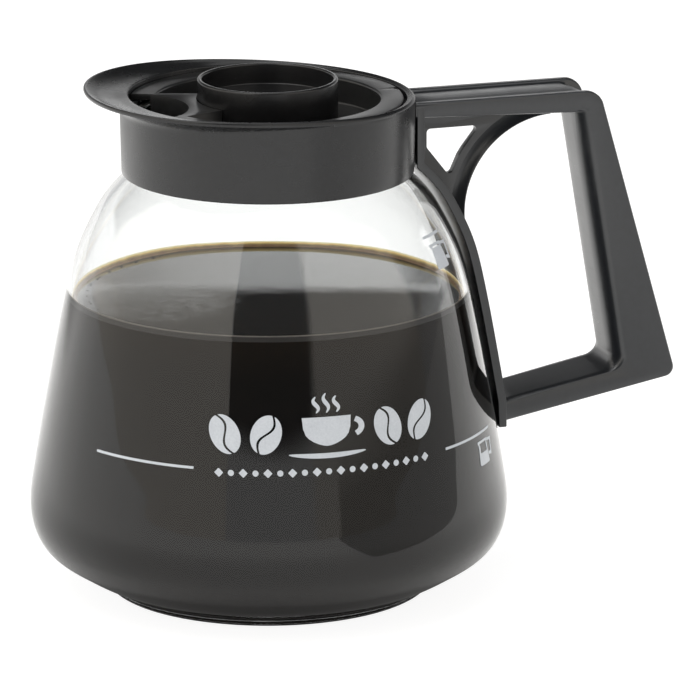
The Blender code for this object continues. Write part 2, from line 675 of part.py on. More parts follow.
def build_fill_cup():
    bore, spigot_bore = CUP_R - CUP_WALL, SPIGOT_R - CUP_WALL
    base, step = WELL_FLOOR + FIT, WELL_FLOOR + FIT + CUP_WALL
    turned("fill_cup", [
        (CUP_R - 0.4, CUP_RIM), (CUP_R, CUP_RIM - 0.5), (CUP_R, base), (SPIGOT_R, base),
        (SPIGOT_R, SPIGOT_LOW), (spigot_bore, SPIGOT_LOW), (spigot_bore, step), (bore, step),
        (bore, CUP_FLOOR - 1.6), (DRIP_HOLE_R, CUP_FLOOR - 2.4), (DRIP_HOLE_R, CUP_FLOOR - 0.8),
        (bore - 0.4, CUP_FLOOR), (bore, CUP_FLOOR + 0.4), (bore, CUP_RIM - 0.4),
        (bore + 0.4, CUP_RIM)], BLACK_CUP, closed=True)


build_glass()
build_neck_seal()
build_collar()
build_handle()
build_screws()
build_lid()
build_fill_cup()
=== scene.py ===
"""Looks of a glass coffee decanter: pot, coffee, printed marks, collar, handle and lid.

Lengths are in millimetres until MM turns them into metres. The pot stands on z = 0 around the
Z axis, +Z up, with the handle towards +X and the pouring lip towards -X.
"""
import json
import math

import bmesh
import bpy
from mathutils import Matrix, Vector

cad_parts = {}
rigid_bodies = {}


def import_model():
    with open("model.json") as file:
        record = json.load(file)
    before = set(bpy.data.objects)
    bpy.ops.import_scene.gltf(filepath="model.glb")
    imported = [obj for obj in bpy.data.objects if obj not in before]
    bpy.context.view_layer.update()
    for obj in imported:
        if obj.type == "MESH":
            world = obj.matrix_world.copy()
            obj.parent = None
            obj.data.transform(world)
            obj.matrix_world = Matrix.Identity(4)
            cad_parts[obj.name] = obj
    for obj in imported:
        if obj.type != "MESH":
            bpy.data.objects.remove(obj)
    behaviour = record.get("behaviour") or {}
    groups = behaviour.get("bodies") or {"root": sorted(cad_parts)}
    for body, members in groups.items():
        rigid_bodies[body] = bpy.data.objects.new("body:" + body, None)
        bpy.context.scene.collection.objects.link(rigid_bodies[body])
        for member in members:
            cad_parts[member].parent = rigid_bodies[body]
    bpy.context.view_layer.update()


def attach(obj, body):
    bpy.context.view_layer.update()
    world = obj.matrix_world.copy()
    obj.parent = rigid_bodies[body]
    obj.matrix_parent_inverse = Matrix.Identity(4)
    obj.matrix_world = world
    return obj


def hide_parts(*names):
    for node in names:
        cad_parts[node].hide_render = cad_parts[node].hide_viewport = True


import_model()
MM = 0.001

# ---------------------------------------------------------------- dimensions, as in the frame
# _R is a radius, _H, _LOW and _TOP are heights above the floor, _W is a width along Y.
# glass
GLASS_WALL = 2.4
BASE_FLAT_R, FOOT_R, FOOT_H = 49.6, 54.1, 3.4
BELLY_R, BELLY_H = 79.85, 27.2
WAIST_R, WAIST_H = 68.2, 97.0
SHOULDER_R, SHOULDER_H = 58.1, 126.6
NECK_R, NECK_H = 44.2, 144.5
BEAD_R, BEAD_LOW, MOUTH_H = 46.4, 157.2, 159.8
# pouring collar; the two spans are in radians around the lip
COLLAR_R, COLLAR_FOOT_R, COLLAR_LOW, COLLAR_BORE = 48.75, 48.35, 141.6, 47.0
COLLAR_RIM_R, COLLAR_RIM_H = 47.8, 166.7
LIP_REACH, LIP_SPAN = 12.7, 1.185
LIP_RISE, LIP_RISE_SPAN = 3.9, 1.872
MOUTH_R, SEAT_H, SEAT_R, SEAT_LOW = 46.0, 163.9, 43.0, 161.8
SNAP_R, SNAP_TOP, SNAP_LOW = 45.0, 155.6, 153.2
# lid
FLANGE_R, FLANGE_TOP, FLANGE_LOW = 45.6, 166.2, 164.2
WELL_R, WELL_FLOOR, LID_WALL, SOCKET_R = 37.2, 157.5, 1.8, 20.3
RIB_ANGLE, RIB_OFFSET, RIB_THICK = math.radians(19.4), 4.2, 1.6
LEDGE_U, LEDGE_HOLLOW_R = 28.0, 22.0
FINGER_GAP, NOTCH_R = 0.8, 1.6
# fill cup
CUP_R, CUP_WALL, CUP_RIM, CUP_FLOOR = 23.25, 1.6, 172.9, 166.0
DRIP_HOLE_R, SPIGOT_R, SPIGOT_LOW = 4.0, 20.0, 154.1
# handle; points are (x, z), on the inner (hand) and outer side of the loop
HANDLE_W, STRIP_W, STRIP_THICK, STRIP_GAP = 24.6, 24.8, 3.0, 1.35
STRIP_FACE_X, STRIP_FOOT, BAR_TOP, BAR_ROOT_LOW = 50.5, 49.9, 163.2, 158.3
TOP_IN, TOP_OUT = (104.3, 156.2), (112.3, BAR_TOP)
LOW_IN, LOW_OUT = (119.1, 66.8), (140.4, 63.4)
ARM_ROOT_IN, ARM_ROOT_OUT = (77.6, 58.9), (78.2, 51.7)
BAR_EDGE, GRIP_EDGE, ARM_EDGE, OUTER_EDGE = 0.9, 4.5, 1.6, 1.0
BAR_CHANNEL, GRIP_CHANNEL = 0.8, 3.0
WEB_THICK, WEB_RIB_W, WEB_ARC_C, WEB_ARC_R = 3.0, 8.0, (99.3, 122.9), 31.7
WINDOW = ((54.85, 151.9), (73.65, 152.0), (67.9, 144.65),
          (66.3, 142.2), (63.1, 135.05), (54.85, 145.6))
BOSS_W, BOSS_END = 6.4, 53.5
SCREW_HEIGHTS = (149.8, 145.0)
SCREW_START, SCREW_END = 45.5, 52.4
# shared
FIT = 0.3
TURN = 256
COFFEE_H = 100.1
HALF_H, FULL_H = 59.1, 125.6

SCENE = bpy.context.scene
made = bpy.data.collections.new("decanter_looks")
tools = bpy.data.collections.new("tools")
SCENE.collection.children.link(made)
SCENE.collection.children.link(tools)


# ---------------------------------------------------------------- node helpers
class Graph:
    """Adds nodes to a tree. An input takes a socket, a number, a tuple, or None to stay as is."""

    def __init__(self, tree, coordinates):
        self.tree = tree
        self.coord = self.add("TexCoord", {}, coordinates)

    def feed(self, socket, value):
        if isinstance(value, (int, float)):
            socket.default_value = value
        elif isinstance(value, tuple):
            # a colour given as three numbers gets an alpha of 1
            socket.default_value = (*value, 1.0)[:len(socket.default_value)]
        elif value is not None:
            self.tree.links.new(value, socket)

    def add(self, kind, inputs, output=0, **settings):
        node = self.tree.nodes.new("ShaderNode" + kind)
        for name, value in settings.items():
            setattr(node, name, value)
        for name, value in inputs.items():
            self.feed(node.inputs[name], value)
        return node.outputs[output]

    def scaled(self, *scale):
        return self.add("Mapping", {"Vector": self.coord, "Scale": scale})

    def noise(self, scale, detail=2.0, rough=0.5, vector=None, distortion=0.0):
        return self.add("TexNoise", {"Scale": scale, "Detail": detail, "Roughness": rough,
                                     "Distortion": distortion, "Vector": vector or self.coord})

    def calc(self, operation, a, b=None, clamp=False):
        return self.add("Math", {0: a, 1: b}, operation=operation, use_clamp=clamp)

    def plus(self, a, b):
        return self.calc("ADD", a, b)

    def times(self, a, b):
        return self.calc("MULTIPLY", a, b)

    def remap(self, value, span, to=(0.0, 1.0), kind="LINEAR"):
        return self.add("MapRange", {"From Min": span[0], "From Max": span[1], "To Min": to[0],
                                     "To Max": to[1], "Value": value}, interpolation_type=kind)

    def ease(self, value, span, to=(0.0, 1.0)):
        return self.remap(value, span, to, "SMOOTHSTEP")

    def mix(self, factor, a, b):
        # sockets 0, 6, 7 and output 2 are the colour ones of the Mix node
        return self.add("Mix", {0: factor, 6: a, 7: b}, 2, data_type="RGBA")

    def split(self, vector=None):
        return self.add("SeparateXYZ", {0: vector or self.coord}).node.outputs

    def dot(self, direction):
        return self.add("VectorMath", {0: self.coord, 1: tuple(direction)}, "Value",
                        operation="DOT_PRODUCT")

    def bump(self, height, strength, distance, normal=None):
        return self.add("Bump", {"Strength": strength, "Distance": distance,
                                 "Height": height, "Normal": normal})


class Material(Graph):
    def __init__(self, name):
        self.data = bpy.data.materials.new(name)
        self.data.use_nodes = True
        super().__init__(self.data.node_tree, "Object")
        self.bsdf = self.tree.nodes["Principled BSDF"]

    def surface(self, inputs):
        for name, value in inputs.items():
            self.feed(self.bsdf.inputs[name], value)


# ---------------------------------------------------------------- materials
def plastic(name, dark, light, rough, grain=0.000008, rubbed=0.02, specular=0.5):
    """Satin black moulding: fine grain (depth in metres), slow changes of gloss and rub marks."""
    mat = Material(name)
    wide = mat.noise(scale=55.0, detail=3.0, rough=0.6)
    fine = mat.noise(scale=3200.0, rough=0.6)
    mid = mat.noise(scale=420.0, detail=3.0, rough=0.6)
    rub = mat.noise(scale=90.0, detail=4.0, rough=0.7, vector=mat.scaled(1.0, 1.0, 7.0),
                    distortion=0.6)
    coarse_bump = mat.bump(mid, strength=0.15, distance=grain)
    mat.surface({
        "Base Color": mat.mix(mat.remap(mid, span=(0.35, 0.7)), dark, light),
        "Roughness": mat.plus(mat.remap(wide, span=(0.3, 0.7), to=(rough - 0.03, rough + 0.035)),
                              mat.remap(rub, span=(0.55, 0.75), to=(0.0, rubbed))),
        "Normal": mat.bump(fine, strength=0.5, distance=grain, normal=coarse_bump),
        "Specular IOR Level": specular})
    mat.data.diffuse_color = (*dark, 1.0)
    return mat.data


def glass_material():
    """Clear glass with a slow unevenness, drawn out upwards."""
    mat = Material("clear_glass")
    slow = mat.noise(scale=26.0, detail=1.0, rough=0.4, vector=mat.scaled(1.0, 1.0, 0.45))
    mat.surface({"Base Color": (0.985, 0.995, 0.992), "Roughness": 0.0, "IOR": 1.5,
                 "Transmission Weight": 1.0,
                 "Normal": mat.bump(slow, strength=0.25, distance=0.0006)})
    return mat.data


def coffee_top_material():
    """The open surface: nearly black, with a thin oily film on the lip side."""
    film_x, film_y = -0.040, -0.006
    mat = Material("coffee_surface")
    x, y, _ = mat.split()
    dx = mat.plus(x, -film_x)
    dy = mat.plus(y, -film_y)
    distance = mat.calc("SQRT", mat.plus(mat.times(dx, dx), mat.times(dy, dy)))
    patch = mat.ease(distance, span=(0.012, 0.034), to=(1.0, 0.0))
    film = mat.noise(scale=260.0, detail=5.0, rough=0.7)
    flecks = mat.remap(mat.noise(scale=900.0, detail=3.0, rough=0.7), span=(0.46, 0.62))
    cover = mat.remap(film, span=(0.35, 0.65), to=(0.25, 1.0))
    haze = mat.calc("MULTIPLY", patch, cover, clamp=True)
    paleness = mat.times(haze, mat.plus(mat.times(flecks, 0.5), 0.35))
    ripple = mat.bump(mat.noise(scale=38.0), strength=0.06, distance=0.0004)
    film_height = mat.times(mat.times(film, flecks), haze)
    mat.surface({
        "IOR": 1.34,
        "Base Color": mat.mix(paleness, (0.011, 0.0075, 0.005), (0.10, 0.095, 0.088)),
        "Roughness": mat.plus(mat.times(haze, 0.10), 0.012),
        "Normal": mat.bump(film_height, strength=0.12, distance=0.00012, normal=ripple)})
    return mat.data


def coffee_side_material():
    """The body of the coffee against the glass: dark, with a painted warm glow towards its upper
    edge, where light comes in through the surface.
    """
    mat = Material("coffee_body")
    # painted light: warmer towards the top, as if lit through the surface
    top_glow = mat.ease(mat.split()["Z"], span=(0.085, COFFEE_H * MM))
    cloud = mat.remap(mat.noise(scale=30.0, detail=3.0, rough=0.6), span=(0.3, 0.7))
    base = mat.mix(cloud, (0.0042, 0.0031, 0.0022), (0.0062, 0.0045, 0.0031))
    mat.surface({"Base Color": mat.mix(top_glow, base, (0.011, 0.0072, 0.0042)),
                 "Roughness": 0.25, "IOR": 1.10, "Specular IOR Level": 0.2})
    return mat.data


def meniscus_glow_material():
    """The thin edge where the coffee climbs the glass: brown, then amber, then clear as the
    coffee thins, with a painted glow of light shining through it.
    """
    # place along the climb, colour
    stops = ((0.0, (0.16, 0.10, 0.055)),
             (0.18, (0.25, 0.18, 0.085)),
             (0.42, (0.52, 0.38, 0.15)),
             (0.72, (0.84, 0.67, 0.31)),
             (1.0, (1.0, 0.93, 0.66)))
    mat = Material("coffee_edge")
    thin = mat.ease(mat.split()["Z"], span=(COFFEE_H * MM + 0.0002, COFFEE_H * MM + 0.0022))
    ripple = mat.remap(mat.noise(scale=300.0), span=(0.3, 0.7), to=(-0.08, 0.08))
    colour = mat.add("ValToRGB", {"Fac": mat.calc("ADD", thin, ripple, clamp=True)})
    elements = colour.node.color_ramp.elements
    for place, _ in stops[1:-1]:
        elements.new(place)
    for element, (place, rgb) in zip(elements, stops):
        element.position = place
        element.color = (*rgb, 1.0)
    # painted light: the edge glows in the colour of its ramp
    mat.surface({"Base Color": colour, "Emission Color": colour, "Emission Strength": 0.55,
                 "IOR": 1.2, "Roughness": 0.15})
    return mat.data


def edge_glint_material():
    """The same edge from outside, against the glass: a pale beige line of painted reflection that
    darkens downwards.
    """
    mat = Material("coffee_edge_glint")
    rise = mat.ease(mat.split()["Z"], span=(COFFEE_H * MM + 0.0014, COFFEE_H * MM + 0.0020))
    speck = mat.remap(mat.noise(scale=500.0, detail=3.0, rough=0.6), span=(0.35, 0.65),
                      to=(0.7, 1.0))
    # painted reflection: pale along the top of the edge, dark below
    mat.surface({"Base Color": mat.mix(mat.times(rise, speck), (0.012, 0.009, 0.007),
                                       (0.30, 0.275, 0.24)),
                 "Roughness": 0.4})
    return mat.data


def print_material():
    """White screen print fired on the glass, with its slight mottling; it also glows faintly with
    painted light.
    """
    dark, light = (0.47, 0.50, 0.54), (0.60, 0.63, 0.67)
    mat = Material("fired_print")
    mottle = mat.noise(scale=1500.0, detail=3.0, rough=0.6)
    wide = mat.noise(scale=120.0)
    blend = mat.plus(mat.times(mottle, 0.6), mat.times(wide, 0.4))
    mat.surface({"Base Color": mat.mix(mat.remap(blend, span=(0.3, 0.7)), dark, light),
                 "Roughness": 0.42,
                 "Normal": mat.bump(mottle, strength=0.4, distance=0.00002),
                 # painted light: the print glows faintly in its own dark colour
                 "Emission Color": dark, "Emission Strength": 0.12})
    return mat.data


def silicone(name, dark, light, rough, transmission=0.0):
    mat = Material(name)
    cloud = mat.remap(mat.noise(scale=350.0, detail=3.0, rough=0.6), span=(0.3, 0.7))
    mat.surface({
        "Base Color": mat.mix(cloud, dark, light),
        "Roughness": mat.remap(mat.noise(scale=140.0), span=(0.3, 0.7),
                               to=(rough - 0.06, rough + 0.08)),
        "Transmission Weight": transmission, "IOR": 1.41,
        "Normal": mat.bump(mat.noise(scale=1800.0), strength=0.4, distance=0.00002)})
    return mat.data


def steel():
    mat = Material("brushed_steel")
    lines = mat.noise(scale=2600.0, detail=3.0, rough=0.6, vector=mat.scaled(0.15, 1.0, 1.0))
    mat.surface({
        "Metallic": 1.0,
        "Base Color": mat.mix(mat.remap(lines, span=(0.3, 0.7)), (0.55, 0.56, 0.58),
                              (0.72, 0.73, 0.75)),
        "Roughness": mat.remap(lines, span=(0.3, 0.7), to=(0.22, 0.36)),
        "Normal": mat.bump(lines, strength=0.3, distance=0.00002)})
    return mat.data


GLASS = glass_material()
COFFEE_TOP = coffee_top_material()
COFFEE_SIDE = coffee_side_material()
COFFEE_EDGE_GLOW = meniscus_glow_material()
EDGE_GLINT = edge_glint_material()
PRINT = print_material()
COLLAR_BLACK = plastic("collar_black", dark=(0.0095, 0.0099, 0.0108),
                       light=(0.0125, 0.013, 0.0142), rough=0.27, grain=0.000003, specular=0.52)
LID_BLACK = plastic("lid_black", dark=(0.0115, 0.0118, 0.0124),
                    light=(0.0155, 0.0158, 0.0166), rough=0.32, grain=0.000004)
CUP_BLACK = plastic("cup_black", dark=(0.008, 0.0081, 0.0086),
                    light=(0.012, 0.0121, 0.0128), rough=0.24)
HANDLE_BLACK = plastic("handle_black", dark=(0.0128, 0.0146, 0.0176),
                       light=(0.0165, 0.0188, 0.0225), rough=0.30, grain=0.000005,
                       rubbed=0.04, specular=0.86)
SEAL = silicone("seal_grey", dark=(0.42, 0.42, 0.40), light=(0.52, 0.52, 0.50), rough=0.55)
PAD = silicone("pad_clear", dark=(0.80, 0.83, 0.83), light=(0.90, 0.92, 0.92), rough=0.30,
               transmission=0.75)
STEEL = steel()


# ---------------------------------------------------------------- outlines
def spline(points, per):
    """A centripetal Catmull-Rom curve through the points, in `per` steps between each two."""
    def blend(a, b, ta, tb, t):
        return a * ((tb - t) / (tb - ta)) + b * ((t - ta) / (tb - ta))

    pts = [Vector(p) for p in points]
    pts = [2 * pts[0] - pts[1]] + pts + [2 * pts[-1] - pts[-2]]
    out = []
    for i in range(1, len(pts) - 2):
        p0, p1, p2, p3 = pts[i - 1:i + 3]
        t0 = 0.0
        t1 = t0 + max((p1 - p0).length, 1e-6) ** 0.5
        t2 = t1 + max((p2 - p1).length, 1e-6) ** 0.5
        t3 = t2 + max((p3 - p2).length, 1e-6) ** 0.5
        for k in range(per):
            t = t1 + (t2 - t1) * k / per
            a1 = blend(p0, p1, t0, t1, t)
            a2 = blend(p1, p2, t1, t2, t)
            a3 = blend(p2, p3, t2, t3, t)
            out.append(blend(blend(a1, a2, t0, t2, t), blend(a2, a3, t1, t3, t), t1, t2, t))
    out.append(pts[-2])
    return [(p[0], p[1]) for p in out]


def tangent(curve, i):
    after = Vector(curve[min(i + 1, len(curve) - 1)])
    return (after - Vector(curve[max(i - 1, 0)])).normalized()


def offset(curve, distance):
    """The curve moved to the left of its direction of travel."""
    out = []
    for i, point in enumerate(curve):
        along = tangent(curve, i)
        out.append((point[0] - along[1] * distance, point[1] + along[0] * distance))
    return out


def relax(curve, rounds):
    """Evens out a profile's curvature without moving its ends."""
    pts = [Vector(p) for p in curve]
    for _ in range(rounds):
        middle = [pts[i] * 0.5 + (pts[i - 1] + pts[i + 1]) * 0.25 for i in range(1, len(pts) - 1)]
        pts = [pts[0]] + middle + [pts[-1]]
    return [(p[0], p[1]) for p in pts]


def fillet_arc(before, corner, after, radius, steps):
    """The arc that rounds a corner; a straight corner gives its own point repeated."""
    corner = Vector(corner)
    to_before = Vector(before) - corner
    to_after = Vector(after) - corner
    reach_max = min(to_before.length, to_after.length) * 0.48
    to_before.normalize()
    to_after.normalize()
    half = math.acos(max(-1.0, min(1.0, to_before.dot(to_after)))) / 2
    if abs(half - math.pi / 2) < 0.02:
        return [tuple(corner)] * (steps + 1)
    radius = min(radius, reach_max * math.tan(half))
    reach = radius / math.tan(half)
    centre = corner + (to_before + to_after).normalized() * (radius / math.sin(half))
    start = corner + to_before * reach - centre
    end = corner + to_after * reach - centre
    turn = math.pi - 2 * half
    out = []
    for k in range(steps + 1):
        t = k / steps
        spoke = (start * math.sin((1 - t) * turn) + end * math.sin(t * turn)) / math.sin(turn)
        point = centre + spoke
        out.append((point[0], point[1]))
    return out


def eased(points, steps=4):
    """An outline of (x, y, fillet) with its corners rounded; a fillet of 0 keeps the corner."""
    out = []
    for i, (x, y, fillet) in enumerate(points):
        if fillet <= 0:
            out.append((x, y))
        else:
            after = points[(i + 1) % len(points)]
            out += fillet_arc(points[i - 1][:2], (x, y), after[:2], fillet, steps)
    return out


def rounded(corners, fillet, steps=5):
    return eased([(x, y, fillet) for x, y in corners], steps)


def radius_at(curve, z):
    for (r0, z0), (r1, z1) in zip(curve, curve[1:]):
        if z0 <= z <= z1:
            return r0 + (r1 - r0) * (z - z0) / max(z1 - z0, 1e-9)
    return curve[-1][0]


# ---------------------------------------------------------------- meshes
def new_object(name, mesh, mat):
    """A finished piece, or a cutting tool where it has no material."""
    obj = bpy.data.objects.new(name, mesh)
    (made if mat else tools).objects.link(obj)
    if mat:
        mesh.materials.clear()
        mesh.materials.append(mat)
    return obj


def smooth(obj, angle=32.0):
    obj.data.shade_smooth()
    obj.data.set_sharp_from_angle(angle=math.radians(angle))
    return obj


def evaluated_mesh(obj):
    bpy.context.view_layer.update()
    graph = bpy.context.evaluated_depsgraph_get()
    return bpy.data.meshes.new_from_object(obj.evaluated_get(graph))


def edit(mesh, weld):
    """A bmesh of the mesh with vertices nearer than weld (metres) merged."""
    bm = bmesh.new()
    bm.from_mesh(mesh)
    bmesh.ops.remove_doubles(bm, verts=bm.verts, dist=weld)
    return bm


def write_back(bm, mesh):
    bmesh.ops.recalc_face_normals(bm, faces=bm.faces)
    bm.to_mesh(mesh)
    bm.free()


def skin(name, rings, mat, closed=True, angle=32.0):
    """Faces between rings of points in millimetres; an open run of rings gets end caps."""
    mesh = bpy.data.meshes.new(name)
    bm = bmesh.new()
    grid = [[bm.verts.new((x * MM, y * MM, z * MM)) for x, y, z in ring] for ring in rings]
    for i in range(len(grid) if closed else len(grid) - 1):
        ring, following = grid[i], grid[(i + 1) % len(grid)]
        for j in range(len(ring)):
            k = (j + 1) % len(ring)
            bm.faces.new([ring[j], ring[k], following[k], following[j]])
    if not closed:
        bm.faces.new(list(reversed(grid[0])))
        bm.faces.new(grid[-1])
    bmesh.ops.remove_doubles(bm, verts=bm.verts, dist=0.0000005)
    write_back(bm, mesh)
    return smooth(new_object(name, mesh, mat), angle)


def ring_at(profile, angle):
    return [(r * math.cos(angle), r * math.sin(angle), z) for r, z in profile]


def revolve(name, profile, mat, steps=TURN, angle=32.0):
    """A closed profile of (radius, height) spun about Z; points on the axis become one vertex."""
    rings = [ring_at(profile, 2 * math.pi * i / steps) for i in range(steps)]
    return skin(name, rings, mat, angle=angle)


def outline_object(name, outlines, half_thick):
    """A temporary filled curve; outlines nested in others are holes."""
    curve = bpy.data.curves.new(name, "CURVE")
    curve.dimensions = "2D"
    curve.fill_mode = "BOTH"
    for outline in outlines:
        line = curve.splines.new("POLY")
        line.points.add(len(outline) - 1)
        for point, (x, y) in zip(line.points, outline):
            point.co = (x * MM, y * MM, 0.0, 1.0)
        line.use_cyclic_u = True
    curve.extrude = half_thick * MM
    holder = bpy.data.objects.new(name + "_curve", curve)
    SCENE.collection.objects.link(holder)
    return holder


def plate(name, outline, thick, edge=0.0, low=None):
    """A flat tool: (x, z) centred across Y, or (x, y) standing on the height `low`."""
    holder = outline_object(name, [outline], thick / 2 - edge)
    if edge:
        holder.data.bevel_depth = edge * MM
        holder.data.bevel_resolution = 3
        holder.data.offset = -edge * MM
    if low is None:
        holder.rotation_euler = (math.pi / 2, 0.0, 0.0)
    else:
        holder.location = (0.0, 0.0, (low + thick / 2) * MM)
    mesh = evaluated_mesh(holder)
    mesh.transform(holder.matrix_world)
    write_back(edit(mesh, weld=0.000002), mesh)
    bpy.data.objects.remove(holder, do_unlink=True)
    return new_object(name, mesh, None)


def boolean(target, other, operation):
    modifier = target.modifiers.new(other.name, "BOOLEAN")
    modifier.operation = operation
    modifier.solver = "EXACT"
    modifier.object = other


def settle(obj, edge, edge_angle):
    """Applies the modifiers, eases the sharp edges and shades the result."""
    mat = obj.data.materials[0]
    mesh = evaluated_mesh(obj)
    obj.modifiers.clear()
    obj.data = mesh
    bm = edit(mesh, weld=0.000004)
    bmesh.ops.dissolve_degenerate(bm, edges=bm.edges, dist=0.000003)
    write_back(bm, mesh)
    bevel = obj.modifiers.new("edges", "BEVEL")
    bevel.width = edge * MM
    bevel.segments = 2
    bevel.limit_method = "ANGLE"
    bevel.angle_limit = math.radians(edge_angle)
    bevel.use_clamp_overlap = True
    bevel.harden_normals = False
    mesh = evaluated_mesh(obj)
    obj.modifiers.clear()
    obj.data = mesh
    mesh.materials.clear()
    mesh.materials.append(mat)
    return smooth(obj, 34.0)


def register(obj, body, slot, *nodes):
    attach(obj, body)
    if nodes:
        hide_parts(*nodes)


# ---------------------------------------------------------------- glass vessel
def quarter(k, steps):
    return math.radians(90 * k / steps)


foot_curve = [(BASE_FLAT_R + (FOOT_R - BASE_FLAT_R) * math.sin(quarter(k, 12)),
               FOOT_H * 0.55 * (1 - math.cos(quarter(k, 12)))) for k in range(13)]
# outer side of the glass from foot to neck: radius, height
BELLY_POINTS = [
    (FOOT_R + 0.5, FOOT_H), (61.2, 6.2), (67.8, 10.1), (76.2, 16.3), (BELLY_R, BELLY_H),
    (77.55, 46.0), (73.2, 71.0), (WAIST_R, WAIST_H), (64.0, 114.0), (SHOULDER_R, SHOULDER_H),
    (54.2, 133.0), (49.5, 138.2), (NECK_R + 1.2, 142.2), (NECK_R, NECK_H + 1.6)]
belly_curve = relax(spline(BELLY_POINTS, 10), 10)
# neck and mouth bead: radius, height, fillet
neck_curve = eased([
    (NECK_R, NECK_H + 2.4, 0), (NECK_R, BEAD_LOW - 1.4, 1.2), (BEAD_R, BEAD_LOW + 0.2, 0.9),
    (BEAD_R, MOUTH_H, 1.2), (NECK_R - GLASS_WALL, MOUTH_H, 1.0),
    (NECK_R - GLASS_WALL, BEAD_LOW, 0)], 6)
inner_curve = [p for p in offset(belly_curve, GLASS_WALL) if p[1] > 9.2]
# inside of the base, from the axis out to the wall
base_inside = spline([(0.0, 2.6), (24.0, 2.6), (42.0, 2.8), (FOOT_R - 2.7, 4.1), (60.2, 8.5),
                      inner_curve[0]], 6)[:-1]
glass_inner = base_inside + inner_curve


def make_glass():
    underside = [(0.0, 0.45), (BASE_FLAT_R - 3.0, 0.45), (BASE_FLAT_R - 2.4, 0.0)]
    profile = underside + foot_curve + belly_curve + neck_curve + list(reversed(glass_inner))
    glass = revolve("glass_pot", profile, GLASS, angle=60.0)
    register(glass, "jug", "glass", "glass_vessel")


make_glass()

# ---------------------------------------------------------------- coffee
TOUCH = 0.06  # overlap of the coffee into the glass
EDGE_LIFT = 0.02  # the edge ring and bubbles sit this much above the surface
MENISCUS_CLIMB, MENISCUS_SPREAD, MENISCUS_STEPS = 2.0, 2.0, 12
wall_r = radius_at(inner_curve, COFFEE_H)


def make_coffee():
    wet = [p for p in glass_inner if p[1] < COFFEE_H - 0.4]
    wall = [(r + TOUCH if r > 30 else r, z - (TOUCH if z < 12 else 0.0)) for r, z in wet]
    profile = [(0.0, COFFEE_H)] + wall
    profile += [(wall_r + TOUCH, COFFEE_H - 0.02), (wall_r - 0.5, COFFEE_H)]
    coffee = revolve("coffee", profile, COFFEE_SIDE, angle=50.0)
    coffee.data.materials.append(COFFEE_TOP)
    for face in coffee.data.polygons:
        if face.normal.z > 0.9 and face.center.z > (COFFEE_H - 0.2) * MM:
            face.material_index = 1
    register(coffee, "jug", "glass")


def make_coffee_edge():
    """The meniscus, from the wall down to the flat surface, hollow upwards."""
    edge = []
    for k in range(MENISCUS_STEPS + 1):
        t = k / MENISCUS_STEPS
        climb = MENISCUS_CLIMB * (1 - t) ** 2.6
        radius = radius_at(inner_curve, COFFEE_H + climb) + TOUCH - MENISCUS_SPREAD * t
        edge.append((radius, COFFEE_H + EDGE_LIFT + climb))
    edge.append((wall_r + TOUCH, COFFEE_H + EDGE_LIFT))
    ring = revolve("coffee_edge", list(reversed(edge)), COFFEE_EDGE_GLOW, angle=70.0)
    ring.data.materials.append(EDGE_GLINT)
    # the faces looking out through the glass take the painted reflection
    for face in ring.data.polygons:
        normal, centre = face.normal, face.center
        outward = normal.x * centre.x + normal.y * centre.y
        if outward > 0.3 * math.hypot(centre.x, centre.y):
            face.material_index = 1
    register(ring, "jug", "glass")


def make_bubbles():
    """Flattened bubbles resting on the surface near the wall."""
    bm = bmesh.new()
    for i in range(26):
        angle = math.radians(-255 + 137.5 * i % 170)
        radius = wall_r - 3.2 - 2.4 * ((i * 0.618) % 1.0)
        size = 0.35 + 0.55 * ((i * 0.377) % 1.0)
        place = Matrix.Translation((radius * MM * math.cos(angle), radius * MM * math.sin(angle),
                                    (COFFEE_H + EDGE_LIFT) * MM))
        flatten = Matrix.Diagonal((1.0, 1.0, 0.55, 1.0))
        bmesh.ops.create_uvsphere(bm, u_segments=14, v_segments=8, radius=size * MM,
                                  matrix=place @ flatten)
    mesh = bpy.data.meshes.new("coffee_bubbles")
    bm.to_mesh(mesh)
    bm.free()
    bubbles = new_object("coffee_bubbles", mesh, COFFEE_TOP)
    mesh.shade_smooth()
    register(bubbles, "jug", "glass")


make_coffee()
make_coffee_edge()
make_bubbles()

# ---------------------------------------------------------------- printed marks on the glass
PRINT_THICK, PRINT_LIFT = 0.10, 0.03
PRINT_CUTS = (1.3, 3)  # largest facet across and up, so that the print follows the glass
LINE_THICK = 0.85
MOTIF_AZ, MOTIF_Z = -92.3, 64.0
CUP_BASE = 0.6
BEAN_RX, BEAN_RY, BEAN_Y = 4.9, 6.6, 7.4
BEANS = ((-20.0, -24.0), (-33.4, 22.0), (21.6, 24.0), (34.6, -22.0))  # place across, tilt


def glass_point(across, height, azimuth, base, lift):
    """A point laid on the glass: across from the azimuth (degrees), up from base, lifted off."""
    z = base + height * 0.985
    radius = radius_at(belly_curve, z)
    slope = radius_at(belly_curve, z + 0.5) - radius_at(belly_curve, z - 0.5)
    normal = Vector((1.0, -slope)).normalized()
    angle = math.radians(azimuth) + across / radius
    lifted = radius + normal.x * lift
    return Vector((lifted * math.cos(angle), lifted * math.sin(angle), z + normal.y * lift)) * MM


